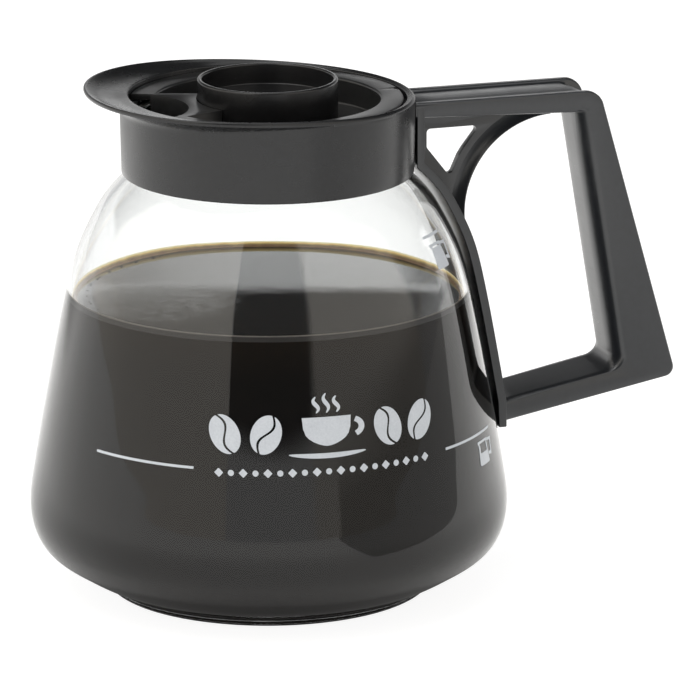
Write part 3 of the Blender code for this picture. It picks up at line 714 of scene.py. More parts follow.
def decal(name, shapes, azimuth, base):
    """Flat outlines laid on the glass; an outline inside another is a hole."""
    holder = outline_object(name, shapes, PRINT_THICK / 2)
    mesh = evaluated_mesh(holder)
    bpy.data.objects.remove(holder, do_unlink=True)
    bm = edit(mesh, weld=0.0000015)
    extents = [[v.co[axis] for v in bm.verts] for axis in (0, 1)]
    for axis, cut in enumerate(PRINT_CUTS):
        normal = Vector((0.0, 0.0, 0.0))
        normal[axis] = 1.0
        place = min(extents[axis]) + cut * MM
        while place < max(extents[axis]):
            bmesh.ops.bisect_plane(bm, geom=list(bm.verts) + list(bm.edges) + list(bm.faces),
                                   dist=1e-7, plane_co=normal * place, plane_no=normal)
            place += cut * MM
    for v in bm.verts:
        lift = PRINT_LIFT + PRINT_THICK / 2 + v.co.z / MM
        v.co = glass_point(v.co.x / MM, v.co.y / MM, azimuth, base, lift)
    write_back(bm, mesh)
    register(smooth(new_object(name, mesh, PRINT), 30.0), "jug", "glass")


def shifted(points, dx):
    return [(x + dx, y) for x, y in points]


def bean(cx, tilt):
    """A coffee bean: two halves parted by a winding groove."""
    turn = math.radians(tilt)
    groove = 0.11 * BEAN_RX + 0.25

    def winding(y):
        return 0.30 * BEAN_RX * math.sin(math.pi * y / BEAN_RY)

    halves = []
    for side in (1, -1):
        rim = []
        inner = []
        for k in range(25):
            t = -math.pi / 2 + math.pi * k / 24
            rim.append((side * BEAN_RX * math.cos(t), BEAN_RY * math.sin(t)))
            y = BEAN_RY * (1 - 2 * k / 24) * 0.985
            inner.append((winding(y) + side * groove / 2, y))
        outline = [p for p in rim if side * p[0] > side * winding(p[1]) + groove / 2] + inner
        halves.append([(cx + x * math.cos(turn) - y * math.sin(turn),
                        BEAN_Y + x * math.sin(turn) + y * math.cos(turn)) for x, y in outline])
    return halves


def steam(cx, base, height):
    """A winding stroke, thickest half way up."""
    path = [(cx + 0.8 * math.sin(2 * math.pi * k / 20), base + height * k / 20)
            for k in range(21)]
    left, right = [], []
    for k, (x, y) in enumerate(path):
        along = tangent(path, k)
        width = 0.35 + 1.0 * math.sin(math.pi * k / 20)
        left.append((x - along[1] * width / 2, y + along[0] * width / 2))
        right.append((x + along[1] * width / 2, y - along[0] * width / 2))
    return left + list(reversed(right))


def cup_sign(base):
    """A plain cup on a saucer, with steam."""
    bowl = [(-8.2, base + 12.0), (-7.9, base + 8.2)]
    for k in range(13):
        t = math.pi + math.pi * k / 12
        bowl.append((7.6 * math.cos(t) * (0.55 + 0.45 * abs(math.cos(t))),
                     base + 7.6 + 5.0 * math.sin(t)))
    bowl += [(7.9, base + 8.2), (8.2, base + 12.0)]

    def ear_arc(rx, ry, start, turn):
        angles = [math.radians(start + turn * k / 14) for k in range(15)]
        return [(7.6 + rx * math.cos(t), base + 8.2 + ry * math.sin(t)) for t in angles]

    ear = shifted(ear_arc(4.7, 3.5, -62, 128) + ear_arc(2.7, 1.8, 66, -128), 0.55)
    turns = [2 * math.pi * k / 48 for k in range(48)]
    saucer = [(13.0 * math.cos(t), base + 0.85 * math.sin(t) + 0.35 * math.cos(2 * t) - 0.2)
              for t in turns]
    # place across and height of each stroke of steam
    plumes = [steam(cx, base + 13.4, height) for cx, height in
              ((-3.4, 5.2), (0.0, 6.2), (3.4, 5.2))]
    return [bowl, ear, saucer] + plumes


def jug_sign(full):
    """The small jug beside a level mark, standing on (0, 0), its loop to the right."""
    body = rounded([(-4.3, 0.0), (4.1, 0.0), (3.4, 6.6), (4.0, 8.2), (-4.9, 8.2), (-3.5, 6.6)],
                   0.7)
    loop = rounded([(3.2, 7.9), (7.4, 7.5), (6.7, 1.6), (3.9, 2.3), (3.95, 3.3), (5.9, 2.9),
                    (6.35, 6.6), (3.3, 6.9)], 0.35, 3)
    if full:
        opening = [(-2.7, 6.9), (2.4, 6.9), (2.4, 7.4), (-2.7, 7.4)]
    else:
        opening = rounded([(-2.75, 4.1), (2.75, 4.1), (2.45, 6.7), (2.75, 7.35), (-3.4, 7.35),
                           (-2.5, 6.5)], 0.3)
    return [body, opening, shifted(loop, 0.25)]


def level_line(length):
    half = LINE_THICK / 2
    return [[(0.0, -half), (length, -half), (length, half), (0.0, half)]]


def dotted_rule():
    """Diamonds and round dots by turns."""
    marks = []
    for k in range(19):
        cx = -36.0 + 4.0 * k
        if k % 2:
            turns = [2 * math.pi * j / 20 for j in range(20)]
            marks.append([(cx + math.cos(t), math.sin(t)) for t in turns])
        else:
            marks.append(rounded([(cx - 1.5, 0), (cx, -1.5), (cx + 1.5, 0), (cx, 1.5)], 0.2, 2))
    return marks


def half_line(name, start, end, base):
    """A half-full line between two azimuths in degrees."""
    length = math.radians(end - start) * radius_at(belly_curve, HALF_H)
    decal(name, level_line(length), start, base)


motif = cup_sign(CUP_BASE)
for bean_x, bean_tilt in BEANS:
    motif += bean(bean_x, bean_tilt)
decal("print_cup_and_beans", motif, azimuth=MOTIF_AZ, base=MOTIF_Z)
decal("print_dotted_rule", dotted_rule(), azimuth=MOTIF_AZ, base=HALF_H - 0.1)
half_line("print_half_line_left", start=-155.3, end=-126.2, base=HALF_H + 0.8)
half_line("print_half_line_right", start=-57.2, end=-33.4, base=HALF_H + 0.3)
decal("print_half_jug", jug_sign(full=False), azimuth=-39.2, base=48.8)
decal("print_full_line", level_line(11.4), azimuth=-47.6, base=FULL_H)
decal("print_full_jug", jug_sign(full=True), azimuth=-42.0, base=115.0)

# ---------------------------------------------------------------- pouring collar
COLLAR_STEPS = 320


def collar_section(from_lip):
    """The closed (radius, height) section at an angle in radians from the lip."""
    reach = math.exp(-(abs(from_lip) / LIP_SPAN) ** 3.25)
    rise = math.exp(-(abs(from_lip) / LIP_RISE_SPAN) ** 3.13)
    crest_r = COLLAR_RIM_R + LIP_REACH * reach
    crest_z = COLLAR_RIM_H + LIP_RISE * rise
    edge_r = crest_r + 0.9 - 0.65 * reach
    root_z = crest_z - 2.4 - 5.6 * reach
    # underside of the lip: a cubic curve from the wall out to the edge
    p0 = Vector((COLLAR_R, root_z))
    p3 = Vector((edge_r - 0.25 * reach, crest_z - 1.7 + 0.4 * reach))
    p1 = Vector((COLLAR_R, root_z + 0.5 * (p3[1] - root_z)))
    p2 = Vector((COLLAR_R + 0.45 * (p3[0] - COLLAR_R), p3[1] - 1.4 * reach - 0.2))
    under = []
    for k in range(19):
        t = k / 18
        point = (p0 * (1 - t) ** 3 + p1 * 3 * t * (1 - t) ** 2 + p2 * 3 * t * t * (1 - t)
                 + p3 * t ** 3)
        under.append((point[0], point[1]))
    mouth_r = MOUTH_R + 0.75
    mouth_z = COLLAR_RIM_H - 0.2 + 1.4 * rise
    dish = [(crest_r + (MOUTH_R + 0.5 - crest_r) * k,
             crest_z + (mouth_z - crest_z) * k - 2.4 * reach * k * (1 - k)) for k in (0.33, 0.66)]
    crown = spline([under[-1], (edge_r - 0.02, crest_z - 0.75 + 0.15 * reach),
                    (crest_r - 0.05, crest_z)] + dish + [(mouth_r, mouth_z)], 7)[1:]
    wall_foot_r, wall_foot_z = COLLAR_FOOT_R + 0.05, COLLAR_LOW + 2.5
    skirt = eased([(COLLAR_BORE + 0.3, COLLAR_LOW, 0), (COLLAR_FOOT_R, COLLAR_LOW, 0.6),
                   (wall_foot_r, wall_foot_z, 0)], 5)
    wall = [(wall_foot_r + (COLLAR_R - COLLAR_FOOT_R - 0.05) * k / 8,
             wall_foot_z + (root_z - COLLAR_LOW - 2.5) * k / 8) for k in range(1, 8)]
    bore = eased([
        (mouth_r, mouth_z, 0), (MOUTH_R, mouth_z - 0.1, 0.35), (MOUTH_R, SEAT_H, 0.2),
        (SEAT_R, SEAT_H, 0.3), (SEAT_R, SEAT_LOW, 0.3), (COLLAR_BORE, SEAT_LOW, 0.2),
        (COLLAR_BORE, SNAP_TOP, 0.2), (SNAP_R, SNAP_TOP - 0.4, 0.4),
        (SNAP_R, SNAP_LOW + 0.6, 0.4), (COLLAR_BORE, SNAP_LOW - 0.6, 0.2),
        (COLLAR_BORE, COLLAR_LOW + 0.8, 0.3), (COLLAR_BORE + 0.3, COLLAR_LOW, 0)], 3)[1:-1]
    return skirt + wall + under + crown + bore


def make_collar():
    rings = []
    for i in range(COLLAR_STEPS):
        around = 2 * math.pi * i / COLLAR_STEPS
        from_lip = math.atan2(math.sin(around - math.pi), math.cos(around - math.pi))
        rings.append(ring_at(collar_section(from_lip), around))
    collar = skin("collar", rings, COLLAR_BLACK, angle=38.0)
    register(collar, "jug", "collar_plastic", "pouring_collar")


def make_seal():
    outer, inner, fillet = 46.5, 42.6, 0.35
    top, low = SEAT_LOW - FIT, MOUTH_H + FIT
    profile = rounded([(outer, top), (outer, low), (inner, low), (inner, top)], fillet, 3)
    seal = revolve("neck_ring", profile, SEAL, 160)
    register(seal, "jug", "seal_silicone", "neck_seal")


make_collar()
make_seal()

# ---------------------------------------------------------------- handle
# channel along the outer side: place across as a share of the width, share of full depth
CHANNEL_SHAPE = spline([(-0.40, 0.0), (-0.37, 0.06), (-0.29, 1.0), (-0.14, 0.75), (0.0, 0.65),
                        (0.14, 0.75), (0.29, 1.0), (0.37, 0.06), (0.40, 0.0)], 4)
CORNER_STEPS, STRAIGHT_STEPS, ARC_STEPS = 14, 6, 48


def loop_section(inner_point, outer_point, hand_edge, channel):
    """A section of the loop, eased towards the hand, channelled along its outer side."""
    inner, outer = Vector(inner_point), Vector(outer_point)
    span = (outer - inner).length
    outward = (outer - inner).normalized()
    edge = min(hand_edge, span * 0.6)
    half = HANDLE_W / 2
    crown = min(edge * 1.9, HANDLE_W * 0.46)
    # corner centre (depth, y), radius in depth and across, starting angle
    corners = ((span - OUTER_EDGE, half - OUTER_EDGE, OUTER_EDGE, OUTER_EDGE, 0),
               (edge, half - crown, edge, crown, 90),
               (edge, -half + crown, edge, crown, 180),
               (span - OUTER_EDGE, -half + OUTER_EDGE, OUTER_EDGE, OUTER_EDGE, 270))
    flat = []
    for depth, y, radius, across, start in corners:
        for k in range(8):
            t = math.radians(start + 90 * k / 7)
            flat.append((depth + radius * math.cos(t), y + across * math.sin(t)))
    for y, share in CHANNEL_SHAPE:
        flat.append((span - channel * max(0.0, share), y * HANDLE_W))
    section = []
    for depth, y in flat:
        x, z = inner + outward * depth
        section.append((x, y, z))
    return section


def loop_stations():
    """Inner point, outer point, hand edge and channel depth, from the bar round to the arm."""
    root_x = STRIP_FACE_X - 3.4
    root_in, root_out = (root_x, BAR_ROOT_LOW), (root_x, BAR_TOP)
    top_in = fillet_arc(root_in, TOP_IN, LOW_IN, 1.2, CORNER_STEPS)
    top_out = fillet_arc(root_out, TOP_OUT, LOW_OUT, 6.3, CORNER_STEPS)
    low_in = fillet_arc(TOP_IN, LOW_IN, ARM_ROOT_IN, 5.0, CORNER_STEPS)
    low_out = fillet_arc(TOP_OUT, LOW_OUT, ARM_ROOT_OUT, 3.2, CORNER_STEPS)
    path = [(root_in, root_out, BAR_EDGE, BAR_CHANNEL)]

    def straight(to_in, to_out, shares):
        from_in, from_out, edge, channel = path[-1]
        for t in shares:
            path.append((tuple(Vector(from_in).lerp(Vector(to_in), t)),
                         tuple(Vector(from_out).lerp(Vector(to_out), t)), edge, channel))

    even = [k / STRAIGHT_STEPS for k in range(1, STRAIGHT_STEPS)]
    straight(top_in[0], top_out[0], even + [0.95])
    for k, (inner, outer) in enumerate(zip(top_in, top_out)):
        t = k / CORNER_STEPS
        path.append((inner, outer, BAR_EDGE + (GRIP_EDGE - BAR_EDGE) * t,
                     BAR_CHANNEL + (GRIP_CHANNEL - BAR_CHANNEL) * min(1.0, 0.5 + 2.0 * t)))
    straight(low_in[0], low_out[0], even)
    for k, (inner, outer) in enumerate(zip(low_in, low_out)):
        t = k / CORNER_STEPS
        path.append((inner, outer, GRIP_EDGE + (ARM_EDGE - GRIP_EDGE) * t,
                     GRIP_CHANNEL + (BAR_CHANNEL - GRIP_CHANNEL) * t))
    straight(ARM_ROOT_IN, ARM_ROOT_OUT, even)
    path.append((ARM_ROOT_IN, ARM_ROOT_OUT, ARM_EDGE, BAR_CHANNEL))
    return path


def along_belly(distance, low, high=math.inf):
    """The glass outline moved outwards, between two heights."""
    return [p for p in offset(belly_curve, -distance) if low < p[1] < high]


def strip_tool():
    """The strip that follows the glass between the arm and the bar."""
    back_x = STRIP_FACE_X - 2.6
    low = STRIP_FOOT + 8.0
    face = [p for p in along_belly(STRIP_GAP + STRIP_THICK, low) if p[0] > STRIP_FACE_X]
    back = [p for p in along_belly(STRIP_GAP, low) if p[0] > back_x]
    foot = rounded([(77.0, STRIP_FOOT), (79.9, STRIP_FOOT), face[0]], 0.4, 3)[:8]
    top = [(STRIP_FACE_X, face[-1][1] + 0.6), (STRIP_FACE_X, BAR_TOP - 1.5),
           (back_x, BAR_TOP - 1.5), (back_x, back[-1][1] + 0.6)]
    return plate("strip_tool", foot + face + top + list(reversed(back)), STRIP_W, edge=0.3)


def web_arc(first, last):
    return [math.radians(first - (first - last) * k / ARC_STEPS) for k in range(ARC_STEPS + 1)]


def web_arc_point(angle, depth=0.0):
    return (WEB_ARC_C[0] + (WEB_ARC_R + depth) * math.cos(angle),
            WEB_ARC_C[1] + (WEB_ARC_R + depth) * math.sin(angle))


def web_tool():
    """The thin web in the corner between strip and bar."""
    arc = [web_arc_point(t) for t in web_arc(196, 92)]
    root = along_belly(STRIP_GAP + STRIP_THICK * 0.5, 115.5, 140.6)
    bar_side = [(TOP_IN[0] - 0.5, BAR_ROOT_LOW - 1.7), (TOP_IN[0] - 0.5, BAR_ROOT_LOW - 0.6),
                (STRIP_FACE_X - 0.7, BAR_ROOT_LOW + 1.3), (STRIP_FACE_X - 0.7, 142.1)]
    outline = [(arc[0][0] - 1.2, arc[0][1] - 1.5)] + arc + bar_side + list(reversed(root))
    return plate("web_tool", outline, WEB_THICK)


def rib_tool():
    """The wider rib along the web's arc, hollowed down to the web on each side."""
    half_rib, half_web = WEB_RIB_W / 2, WEB_THICK / 2 - 0.1
    side = [(0.02, half_rib - 0.35)] + spline(
        [(0.35, half_rib), (0.75, half_rib - 0.3), (1.6, half_web + 1.5),
         (2.9, half_web + 0.6), (4.6, half_web)], 4)
    section = side + [(depth, -y) for depth, y in reversed(side)]
    rings = []
    for angle in web_arc(197, 93):
        ring = []
        for depth, y in section:
            x, z = web_arc_point(angle, depth)
            ring.append((x, y, z))
        rings.append(ring)
    return skin("rib_tool", rings, None, closed=False)


def rib_bounds():
    """The region the rib is kept within."""
    deep = along_belly(STRIP_GAP + STRIP_THICK * 0.3, 112.4, 140.6)
    outline = deep + [(STRIP_FACE_X, BAR_ROOT_LOW + 0.8), (TOP_IN[0] - 1.0, BAR_ROOT_LOW - 0.9),
                      (TOP_IN[0] + 3.0, WEB_ARC_C[1]), (deep[0][0] + 4.0, 112.4)]
    return plate("rib_bounds", outline, WEB_RIB_W + 2.0)


PAD_H, PAD_W, PAD_THICK = 7.0, 12.0, 1.2
PAD_X, PAD_Z = 77.45, 53.0
PAD_TILT = math.atan2(76.4 - 72.0, 71.0 - 46.0)


def pad_block(name, mat, grow, fillet, corner):
    """The pad, or with grow its recess: a tilted block facing the glass."""
    thick, width, height = PAD_THICK + 2 * grow, PAD_W + 2 * grow, PAD_H + 2 * grow
    outline = rounded([(-width / 2, -height / 2), (width / 2, -height / 2),
                       (width / 2, height / 2), (-width / 2, height / 2)], corner)
    rings = []
    for x, inset in ((-thick / 2, fillet), (-thick / 2 + fillet, 0.0),
                     (thick / 2 - fillet, 0.0), (thick / 2, fillet)):
        rings.append([(x, y * (1 - 2 * inset / width), z * (1 - 2 * inset / height))
                      for y, z in outline])
    block = skin(name, rings, mat, closed=False)
    block.rotation_euler = (0.0, -PAD_TILT, 0.0)
    block.location = (PAD_X * MM, 0.0, PAD_Z * MM)
    return block


def screw_hole(i, z):
    half, radius = 4.0, 1.65
    hole = revolve(f"hole_{i}", [(0.0, half), (0.0, -half), (radius, -half), (radius, half)],
                   None, 32)
    hole.rotation_euler = (0.0, math.pi / 2, 0.0)
    hole.location = ((SCREW_END + FIT - half) * MM, 0.0, z * MM)
    return hole


def make_handle():
    sections = [loop_section(*station) for station in loop_stations()]
    handle = skin("handle_moulding", sections, HANDLE_BLACK, closed=False)
    strip = strip_tool()
    web = web_tool()
    window = plate("web_window", rounded(WINDOW, 1.3, 6), WEB_THICK * 2)
    rib = rib_tool()
    bounds = rib_bounds()
    boss = plate("boss_tool", [(STRIP_FACE_X - 1.4, 142.8), (BOSS_END, 144.4),
                               (BOSS_END, 152.3), (STRIP_FACE_X - 1.4, 152.3)], BOSS_W)
    seat_r, seat_low, seat_top = COLLAR_R + FIT, COLLAR_LOW - 0.5, 175.0
    seat = revolve("collar_seat", [(0.0, seat_top), (0.0, seat_low), (seat_r, seat_low),
                                   (seat_r, seat_top)], None)
    boolean(web, window, "DIFFERENCE")
    boolean(rib, bounds, "INTERSECT")
    boolean(web, rib, "UNION")
    boolean(web, boss, "UNION")
    boolean(handle, strip, "UNION")
    boolean(handle, web, "UNION")
    boolean(handle, seat, "DIFFERENCE")
    for i, z in enumerate(SCREW_HEIGHTS):
        boolean(handle, screw_hole(i, z), "DIFFERENCE")
    recess = pad_block("pad_recess", None, grow=FIT, fillet=0.0, corner=0.01)
    boolean(handle, recess, "DIFFERENCE")
    settle(handle, edge=0.25, edge_angle=42.0)
    register(handle, "jug", "handle_plastic", "handle")


def make_pad():
    pad = pad_block("foot_pad", PAD, grow=0.0, fillet=0.25, corner=1.2)
    register(pad, "jug", "pad_silicone", "handle_foot_pad")


def make_screw(place, z):
    """A screw lying along X, its domed head towards +X."""
    top = SCREW_END - SCREW_START
    profile = [(0.0, top - 0.55), (0.55, top - 0.55), (0.62, top - 0.02)]
    for k in range(7):
        t = quarter(k, 6)
        profile.append((0.7 + 1.5 * math.sin(t), top - 0.7 + 0.7 * math.cos(t)))
    profile += [(2.2, top - 1.2), (1.35, top - 1.2)]
    half_turns = 18
    for k in range(half_turns):
        profile.append((1.35 if k % 2 else 1.08, top - 1.6 - 4.6 * k / half_turns))
    profile += [(1.0, 0.7), (0.3, 0.0), (0.0, 0.0)]
    screw = revolve(f"screw_{place}", list(reversed(profile)), STEEL, 48)
    screw.rotation_euler = (0.0, -math.pi / 2, 0.0)
    screw.location = (SCREW_END * MM, 0.0, z * MM)
    register(screw, "jug", "screw_steel", f"handle_screw_{place}")


make_handle()
make_pad()
for screw_place, screw_z in zip(("upper", "lower"), SCREW_HEIGHTS):
    make_screw(screw_place, screw_z)

# ---------------------------------------------------------------- lid
WELL_OUT = WELL_R + LID_WALL
LID_STEPS = 240
NOTCH_HALF = 2.2  # degrees


def flange_radius(angle):
    """The flange at an angle in degrees from +X: a notch there, a shallow gap on its -Y side."""
    if abs(angle) < NOTCH_HALF:
        return FLANGE_R - NOTCH_R * math.cos(math.radians(90 * angle / NOTCH_HALF))
    if -72.0 < angle < -NOTCH_HALF:
        return FLANGE_R - FINGER_GAP * math.sin(math.pi * min(1.0, (-angle + 12.0) / 84.0))
    return FLANGE_R


def lid_rings():
    # extra rings either side of +X for the notch; 1.5 degrees is already a step
    extra = [k * 0.3 for k in range(1, 8) if k % 5]
    even = [360.0 * i / LID_STEPS for i in range(LID_STEPS)]
    under = WELL_FLOOR - LID_WALL
    rings = []
    for angle in sorted(even + extra + [360 - step for step in extra]):
        rim = flange_radius((angle + 180.0) % 360.0 - 180.0)
        section = eased([
            (rim, FLANGE_TOP, 0.55), (rim, FLANGE_LOW, 0.3), (WELL_OUT, FLANGE_LOW, 0.2),
            (WELL_OUT, under, 0.8), (SOCKET_R, under, 0.2), (SOCKET_R, WELL_FLOOR, 0.2),
            (WELL_R, WELL_FLOOR, 0.8), (WELL_R, FLANGE_TOP, 0.8)], 4)
        rings.append(ring_at(section, math.radians(angle)))
    return rings


# Arcs across the pouring channel, as (distance towards -X, y) at an angle.
def cup_arc(t):
    return (CUP_R + FIT) * math.cos(t), (CUP_R + FIT) * math.sin(t)


def wall_arc(t):
    return (WELL_R + 0.9) * math.cos(t), (WELL_R + 0.9) * math.sin(t)


def hollow_arc(t):
    return LEDGE_U + LEDGE_HOLLOW_R * (1 - math.cos(t)), LEDGE_HOLLOW_R * math.sin(t)


def rib_point(toward_lip, side, out):
    """(x, y) on a rib beside the channel, which widens towards the lip."""
    y = side * (toward_lip * math.sin(RIB_ANGLE) + RIB_OFFSET + out) / math.cos(RIB_ANGLE)
    return (-toward_lip, y)


def crossing(arc, out):
    """The angle at which the arc meets the rib, by halving."""
    low, high = 0.0, math.radians(89)
    for _ in range(40):
        middle = (low + high) / 2
        toward_lip, y = arc(middle)
        if y < rib_point(toward_lip, 1, out)[1]:
            low = middle
        else:
            high = middle
    return low


def arc_between_ribs(arc, out, steps):
    half = crossing(arc, out)
    points = [arc(-half + 2 * half * k / steps) for k in range(steps + 1)]
    return [(-toward_lip, y) for toward_lip, y in points]


def make_lid():
    lid = skin("lid_moulding", lid_rings(), LID_BLACK)
    block_low = WELL_FLOOR - 0.9
    block_outline = (arc_between_ribs(cup_arc, RIB_THICK, 24)
                     + list(reversed(arc_between_ribs(wall_arc, RIB_THICK, 24))))
    block = plate("channel_block", block_outline, FLANGE_TOP - 0.1 - WELL_FLOOR + 0.9,
                  low=block_low)
    beyond = FLANGE_R + 6.0
    pour_outline = arc_between_ribs(hollow_arc, 0.0, 28) + [rib_point(beyond, 1, 0.0),
                                                            rib_point(beyond, -1, 0.0)]
    pour = plate("pour_cut", pour_outline, 30.0, low=146.0)
    boolean(lid, block, "UNION")
    boolean(lid, pour, "DIFFERENCE")
    settle(lid, edge=0.3, edge_angle=45.0)
    register(lid, "lid_set", "lid_plastic", "lid")


def make_fill_cup():
    bore, spigot_bore = CUP_R - CUP_WALL, SPIGOT_R - 1.6
    base, step = WELL_FLOOR + FIT, WELL_FLOOR + 1.9
    profile = eased([
        (CUP_R, CUP_RIM, 0.7), (CUP_R, base, 0.3), (SPIGOT_R, base, 0.2),
        (SPIGOT_R, SPIGOT_LOW, 0.4), (spigot_bore, SPIGOT_LOW, 0.4), (spigot_bore, step, 0.3),
        (bore, step, 0.4), (bore, CUP_FLOOR - 1.6, 0.4), (DRIP_HOLE_R, CUP_FLOOR - 2.4, 0.2),
        (DRIP_HOLE_R, CUP_FLOOR - 0.8, 0.3), (bore, CUP_FLOOR, 0.35), (bore, CUP_RIM, 0.6)], 5)
    cup = revolve("fill_cup_ring", profile, CUP_BLACK)
    register(cup, "lid_set", "cup_plastic", "fill_cup")


make_lid()
make_fill_cup()
for tool in list(tools.objects):
    bpy.data.objects.remove(tool, do_unlink=True)

# ---------------------------------------------------------------- studio, in metres
CAMERA_AZ, CAMERA_EL = math.radians(-18.0), math.radians(15.0)
CAMERA_DISTANCE, AIM_RIGHT, AIM_UP = 2.245, 0.02714, 0.0801
to_camera = Vector((math.sin(CAMERA_AZ) * math.cos(CAMERA_EL),
                    -math.cos(CAMERA_AZ) * math.cos(CAMERA_EL), math.sin(CAMERA_EL)))
camera_right = Vector((math.cos(CAMERA_AZ), math.sin(CAMERA_AZ), 0.0))
flat_to_camera = Vector((math.sin(CAMERA_AZ), -math.cos(CAMERA_AZ), 0.0))


def make_camera():
    data = bpy.data.cameras.new("camera")
    data.lens = 347.1
    data.sensor_width = 36.0
    data.clip_start = 0.05
    data.clip_end = 50.0
    camera = bpy.data.objects.new("camera", data)
    SCENE.collection.objects.link(camera)
    aim = camera_right * AIM_RIGHT + Vector((0.0, 0.0, AIM_UP))
    camera.location = aim + to_camera * CAMERA_DISTANCE
    camera.rotation_euler = (-to_camera).to_track_quat("-Z", "Y").to_euler()
    SCENE.camera = camera


def floor_material():
    """Pale and evenly self-lit to the camera; its reflections in the pieces see a glow with
    painted light and shade around the pot.
    """
    mat = Material("pale_floor")
    mat.surface({"Base Color": (0.36, 0.36, 0.36), "Roughness": 0.85, "Specular IOR Level": 0.0,
                 "Emission Color": (1.0, 1.0, 1.0), "Emission Strength": 0.90})
    side, near = mat.dot(camera_right), mat.dot(flat_to_camera)
    radius = mat.calc("SQRT", mat.plus(mat.times(side, side), mat.times(near, near)))
    apex_side, apex_near = 0.118, 0.137

    def past_line(normal_side, normal_near, soft):
        """1 on the side of a line through the apex that the normal points to."""
        across = mat.plus(mat.times(side, normal_side), mat.times(near, normal_near))
        at_apex = apex_side * normal_side + apex_near * normal_near
        return mat.ease(mat.calc("SUBTRACT", across, at_apex), span=(-soft, soft))

    def share_of_radius(value):
        return mat.calc("DIVIDE", value, mat.calc("MAXIMUM", radius, 0.001))

    # painted shade: a dimmer wedge, opening to the camera's right
    shadow_wedge = mat.times(past_line(0.839, -0.545, soft=0.004), past_line(0.423, 0.906, soft=0.006))
    incoming = mat.split(mat.add("NewGeometry", {}, "Incoming"))
    skim = mat.ease(incoming["Z"], span=(0.17, 0.23), to=(1.0, 0.0))
    shadow_wedge_depth = mat.calc("MAXIMUM", mat.ease(radius, span=(0.24, 0.46), to=(0.52, 0.12)),
                           mat.times(skim, 0.52))
    wedge_shade = mat.times(shadow_wedge, shadow_wedge_depth)
    # painted light: brighter to the sides and behind the pot
    across = share_of_radius(mat.calc("ABSOLUTE", side))
    behind = share_of_radius(mat.times(near, -1.0))
    side_light = mat.plus(mat.ease(across, span=(0.75, 1.0), to=(1.0, 1.08)),
                    mat.ease(behind, span=(0.15, 0.85), to=(0.0, 0.22)))
    # painted shadow: dark under the pot, rising outwards
    rise = mat.plus(mat.ease(radius, span=(0.058, 0.090), to=(0.10, 0.95)),
                    mat.ease(radius, span=(0.088, 0.36), to=(0.0, 0.34)))
    level = mat.times(rise, mat.times(side_light, mat.calc("SUBTRACT", 1.0, wedge_shade)))
    # painted shade: dimmer far behind the pot
    far_back = mat.times(mat.ease(radius, span=(0.50, 0.80)),
                         mat.ease(behind, span=(0.60, 0.78), to=(0.0, 0.52)))
    level = mat.times(level, mat.calc("SUBTRACT", 1.0, far_back))
    glow = mat.add("Emission", {"Color": (1.0, 0.992, 0.975), "Strength": level})
    rays = mat.add("LightPath", {}).node.outputs
    straight_on = mat.calc("MAXIMUM", rays["Is Camera Ray"], rays["Is Transmission Ray"])
    shader = mat.add("MixShader", {0: straight_on, 1: glow, 2: mat.bsdf.outputs[0]})
    mat.feed(mat.tree.nodes["Material Output"].inputs["Surface"], shader)
    return mat.data


def make_floor():
    mesh = bpy.data.meshes.new("floor")
    bm = bmesh.new()
    bmesh.ops.create_circle(bm, cap_ends=True, segments=96, radius=9.0)
    bm.to_mesh(mesh)
    bm.free()
    floor = bpy.data.objects.new("floor", mesh)
    SCENE.collection.objects.link(floor)
    mesh.materials.append(floor_material())


# Patches of the surroundings, each laid over those before it, in degrees.
# Azimuth is 0 towards the camera and positive to its right.
# azimuth (from, to, softness of each end), elevation (the same), strength
PATCHES = (
    # soft boxes, left then right of the camera
    ((-121.0, -19.5, 1.5, 0.6), (-2.0, 58.0, 2.0, 6.0), 1.20),
    ((23.0, 92.0, 3.0, 3.0), (-2.0, 50.0, 2.0, 6.0), 1.02),
    # beyond the right box, and a dimmer band along its foot
    ((92.0, 121.0, 3.0, 2.0), (-2.0, 12.0, 2.0, 1.0), 0.42),
    ((92.0, 121.0, 3.0, 2.0), (12.0, 60.0, 1.0, 6.0), 0.15),
    ((35.0, 119.0, 1.0, 3.0), (-3.0, 3.0, 1.0, 2.0), 0.55),
    # behind the pot: a dark studio above, then a low bright sweep
    ((121.0, 181.0, 2.0, 1.0), (14.40, 80.0, 0.32, 6.0), 0.035),
    ((-181.0, -121.0, 1.0, 3.0), (14.40, 80.0, 0.32, 6.0), 0.035),
    ((121.0, 181.0, 2.0, 1.0), (0.0, 14.3, 1.0, 0.32), 1.6),
    ((-181.0, -121.0, 1.0, 3.0), (0.0, 14.3, 1.0, 0.32), 1.28),
    # dimmer stretches of the sweep
    ((139.0, 177.0, 2.0, 1.0), (-8.0, 14.0, 2.0, 0.3), 0.66),
    ((-177.0, -139.0, 2.0, 1.0), (-8.0, 14.0, 2.0, 0.3), 0.66),
    # the unlit gap round the camera
    ((-19.5, 24.0, 0.6, 3.0), (4.6, 60.0, 0.5, 8.0), 0.12),
)
LOW_BAND = ((-90.0, 9.0, 1.0, 3.0), 1.0)  # elevation, strength
OVERHEAD_PANEL = ((66.0, 95.0, 5.0, 1.0), 1.3)
BASE_STRENGTH, CAMERA_STRENGTH = 0.50, 1.15
WHITE, WARM_WHITE = (1.0, 1.0, 1.0), (1.0, 0.955, 0.885)


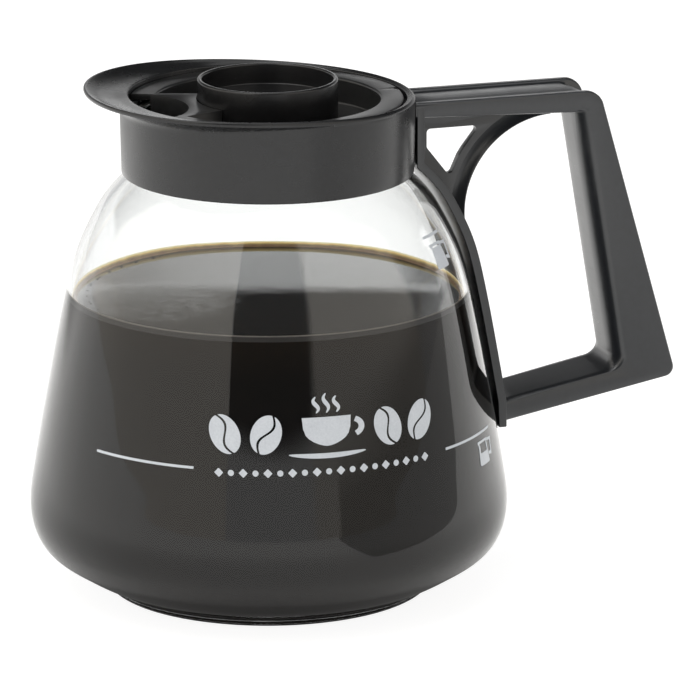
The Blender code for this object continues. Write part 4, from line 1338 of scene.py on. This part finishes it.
def make_world():
    world = bpy.data.worlds.new("studio")
    SCENE.world = world
    world.use_nodes = True
    world.node_tree.nodes.clear()
    sky = Graph(world.node_tree, "Generated")
    up = sky.dot((0.0, 0.0, 1.0))
    bearing = sky.calc("ARCTAN2", sky.dot(camera_right), sky.dot(flat_to_camera))
    azimuth = sky.times(bearing, 180.0 / math.pi)
    elevation = sky.times(sky.calc("ARCSINE", up), 180.0 / math.pi)

    def band(value, low, high, soft_low, soft_high):
        """1 between low and high, easing out over the soft degrees at each end."""
        return sky.times(
            sky.ease(value, span=(low - soft_low, low + soft_low)),
            sky.ease(value, span=(high - soft_high, high + soft_high), to=(1.0, 0.0)))

    def lay(level, mask, value):
        return sky.plus(level, sky.times(mask, sky.calc("SUBTRACT", value, level)))

    level = sky.plus(sky.times(up, 0.0), BASE_STRENGTH)
    level = lay(level, band(elevation, *LOW_BAND[0]), LOW_BAND[1])
    masks = []
    for across, upward, strength in PATCHES:
        masks.append(sky.times(band(azimuth, *across), band(elevation, *upward)))
        level = lay(level, masks[-1], strength)
    level = lay(level, band(elevation, *OVERHEAD_PANEL[0]), OVERHEAD_PANEL[1])
    camera_ray = sky.add("LightPath", {}, "Is Camera Ray")
    strength = lay(level, camera_ray, CAMERA_STRENGTH)
    left_box, right_box = masks[:2]
    warmth = sky.times(sky.calc("MAXIMUM", left_box, right_box),
                       sky.calc("SUBTRACT", 1.0, camera_ray))
    background = sky.add("Background", {"Strength": strength,
                                        "Color": sky.mix(warmth, WHITE, WARM_WHITE)})
    output = sky.tree.nodes.new("ShaderNodeOutputWorld")
    sky.feed(output.inputs["Surface"], background)


def make_key_light():
    """A soft panel above the pot, to the left of the camera."""
    light = bpy.data.lights.new("soft_key", "AREA")
    light.shape = "RECTANGLE"
    light.size = 1.2
    light.size_y = 0.9
    light.energy = 6.0
    key = bpy.data.objects.new("soft_key", light)
    SCENE.collection.objects.link(key)
    key.location = Vector((0.0, 0.0, 1.6)) - camera_right * 0.5 + flat_to_camera * 0.25
    aim = Vector((0.0, 0.0, 0.1)) - key.location
    key.rotation_euler = aim.to_track_quat("-Z", "Y").to_euler()


make_camera()
make_floor()
make_world()
make_key_light()
SCENE.view_settings.view_transform = "Standard"
SCENE.cycles.use_denoising = True
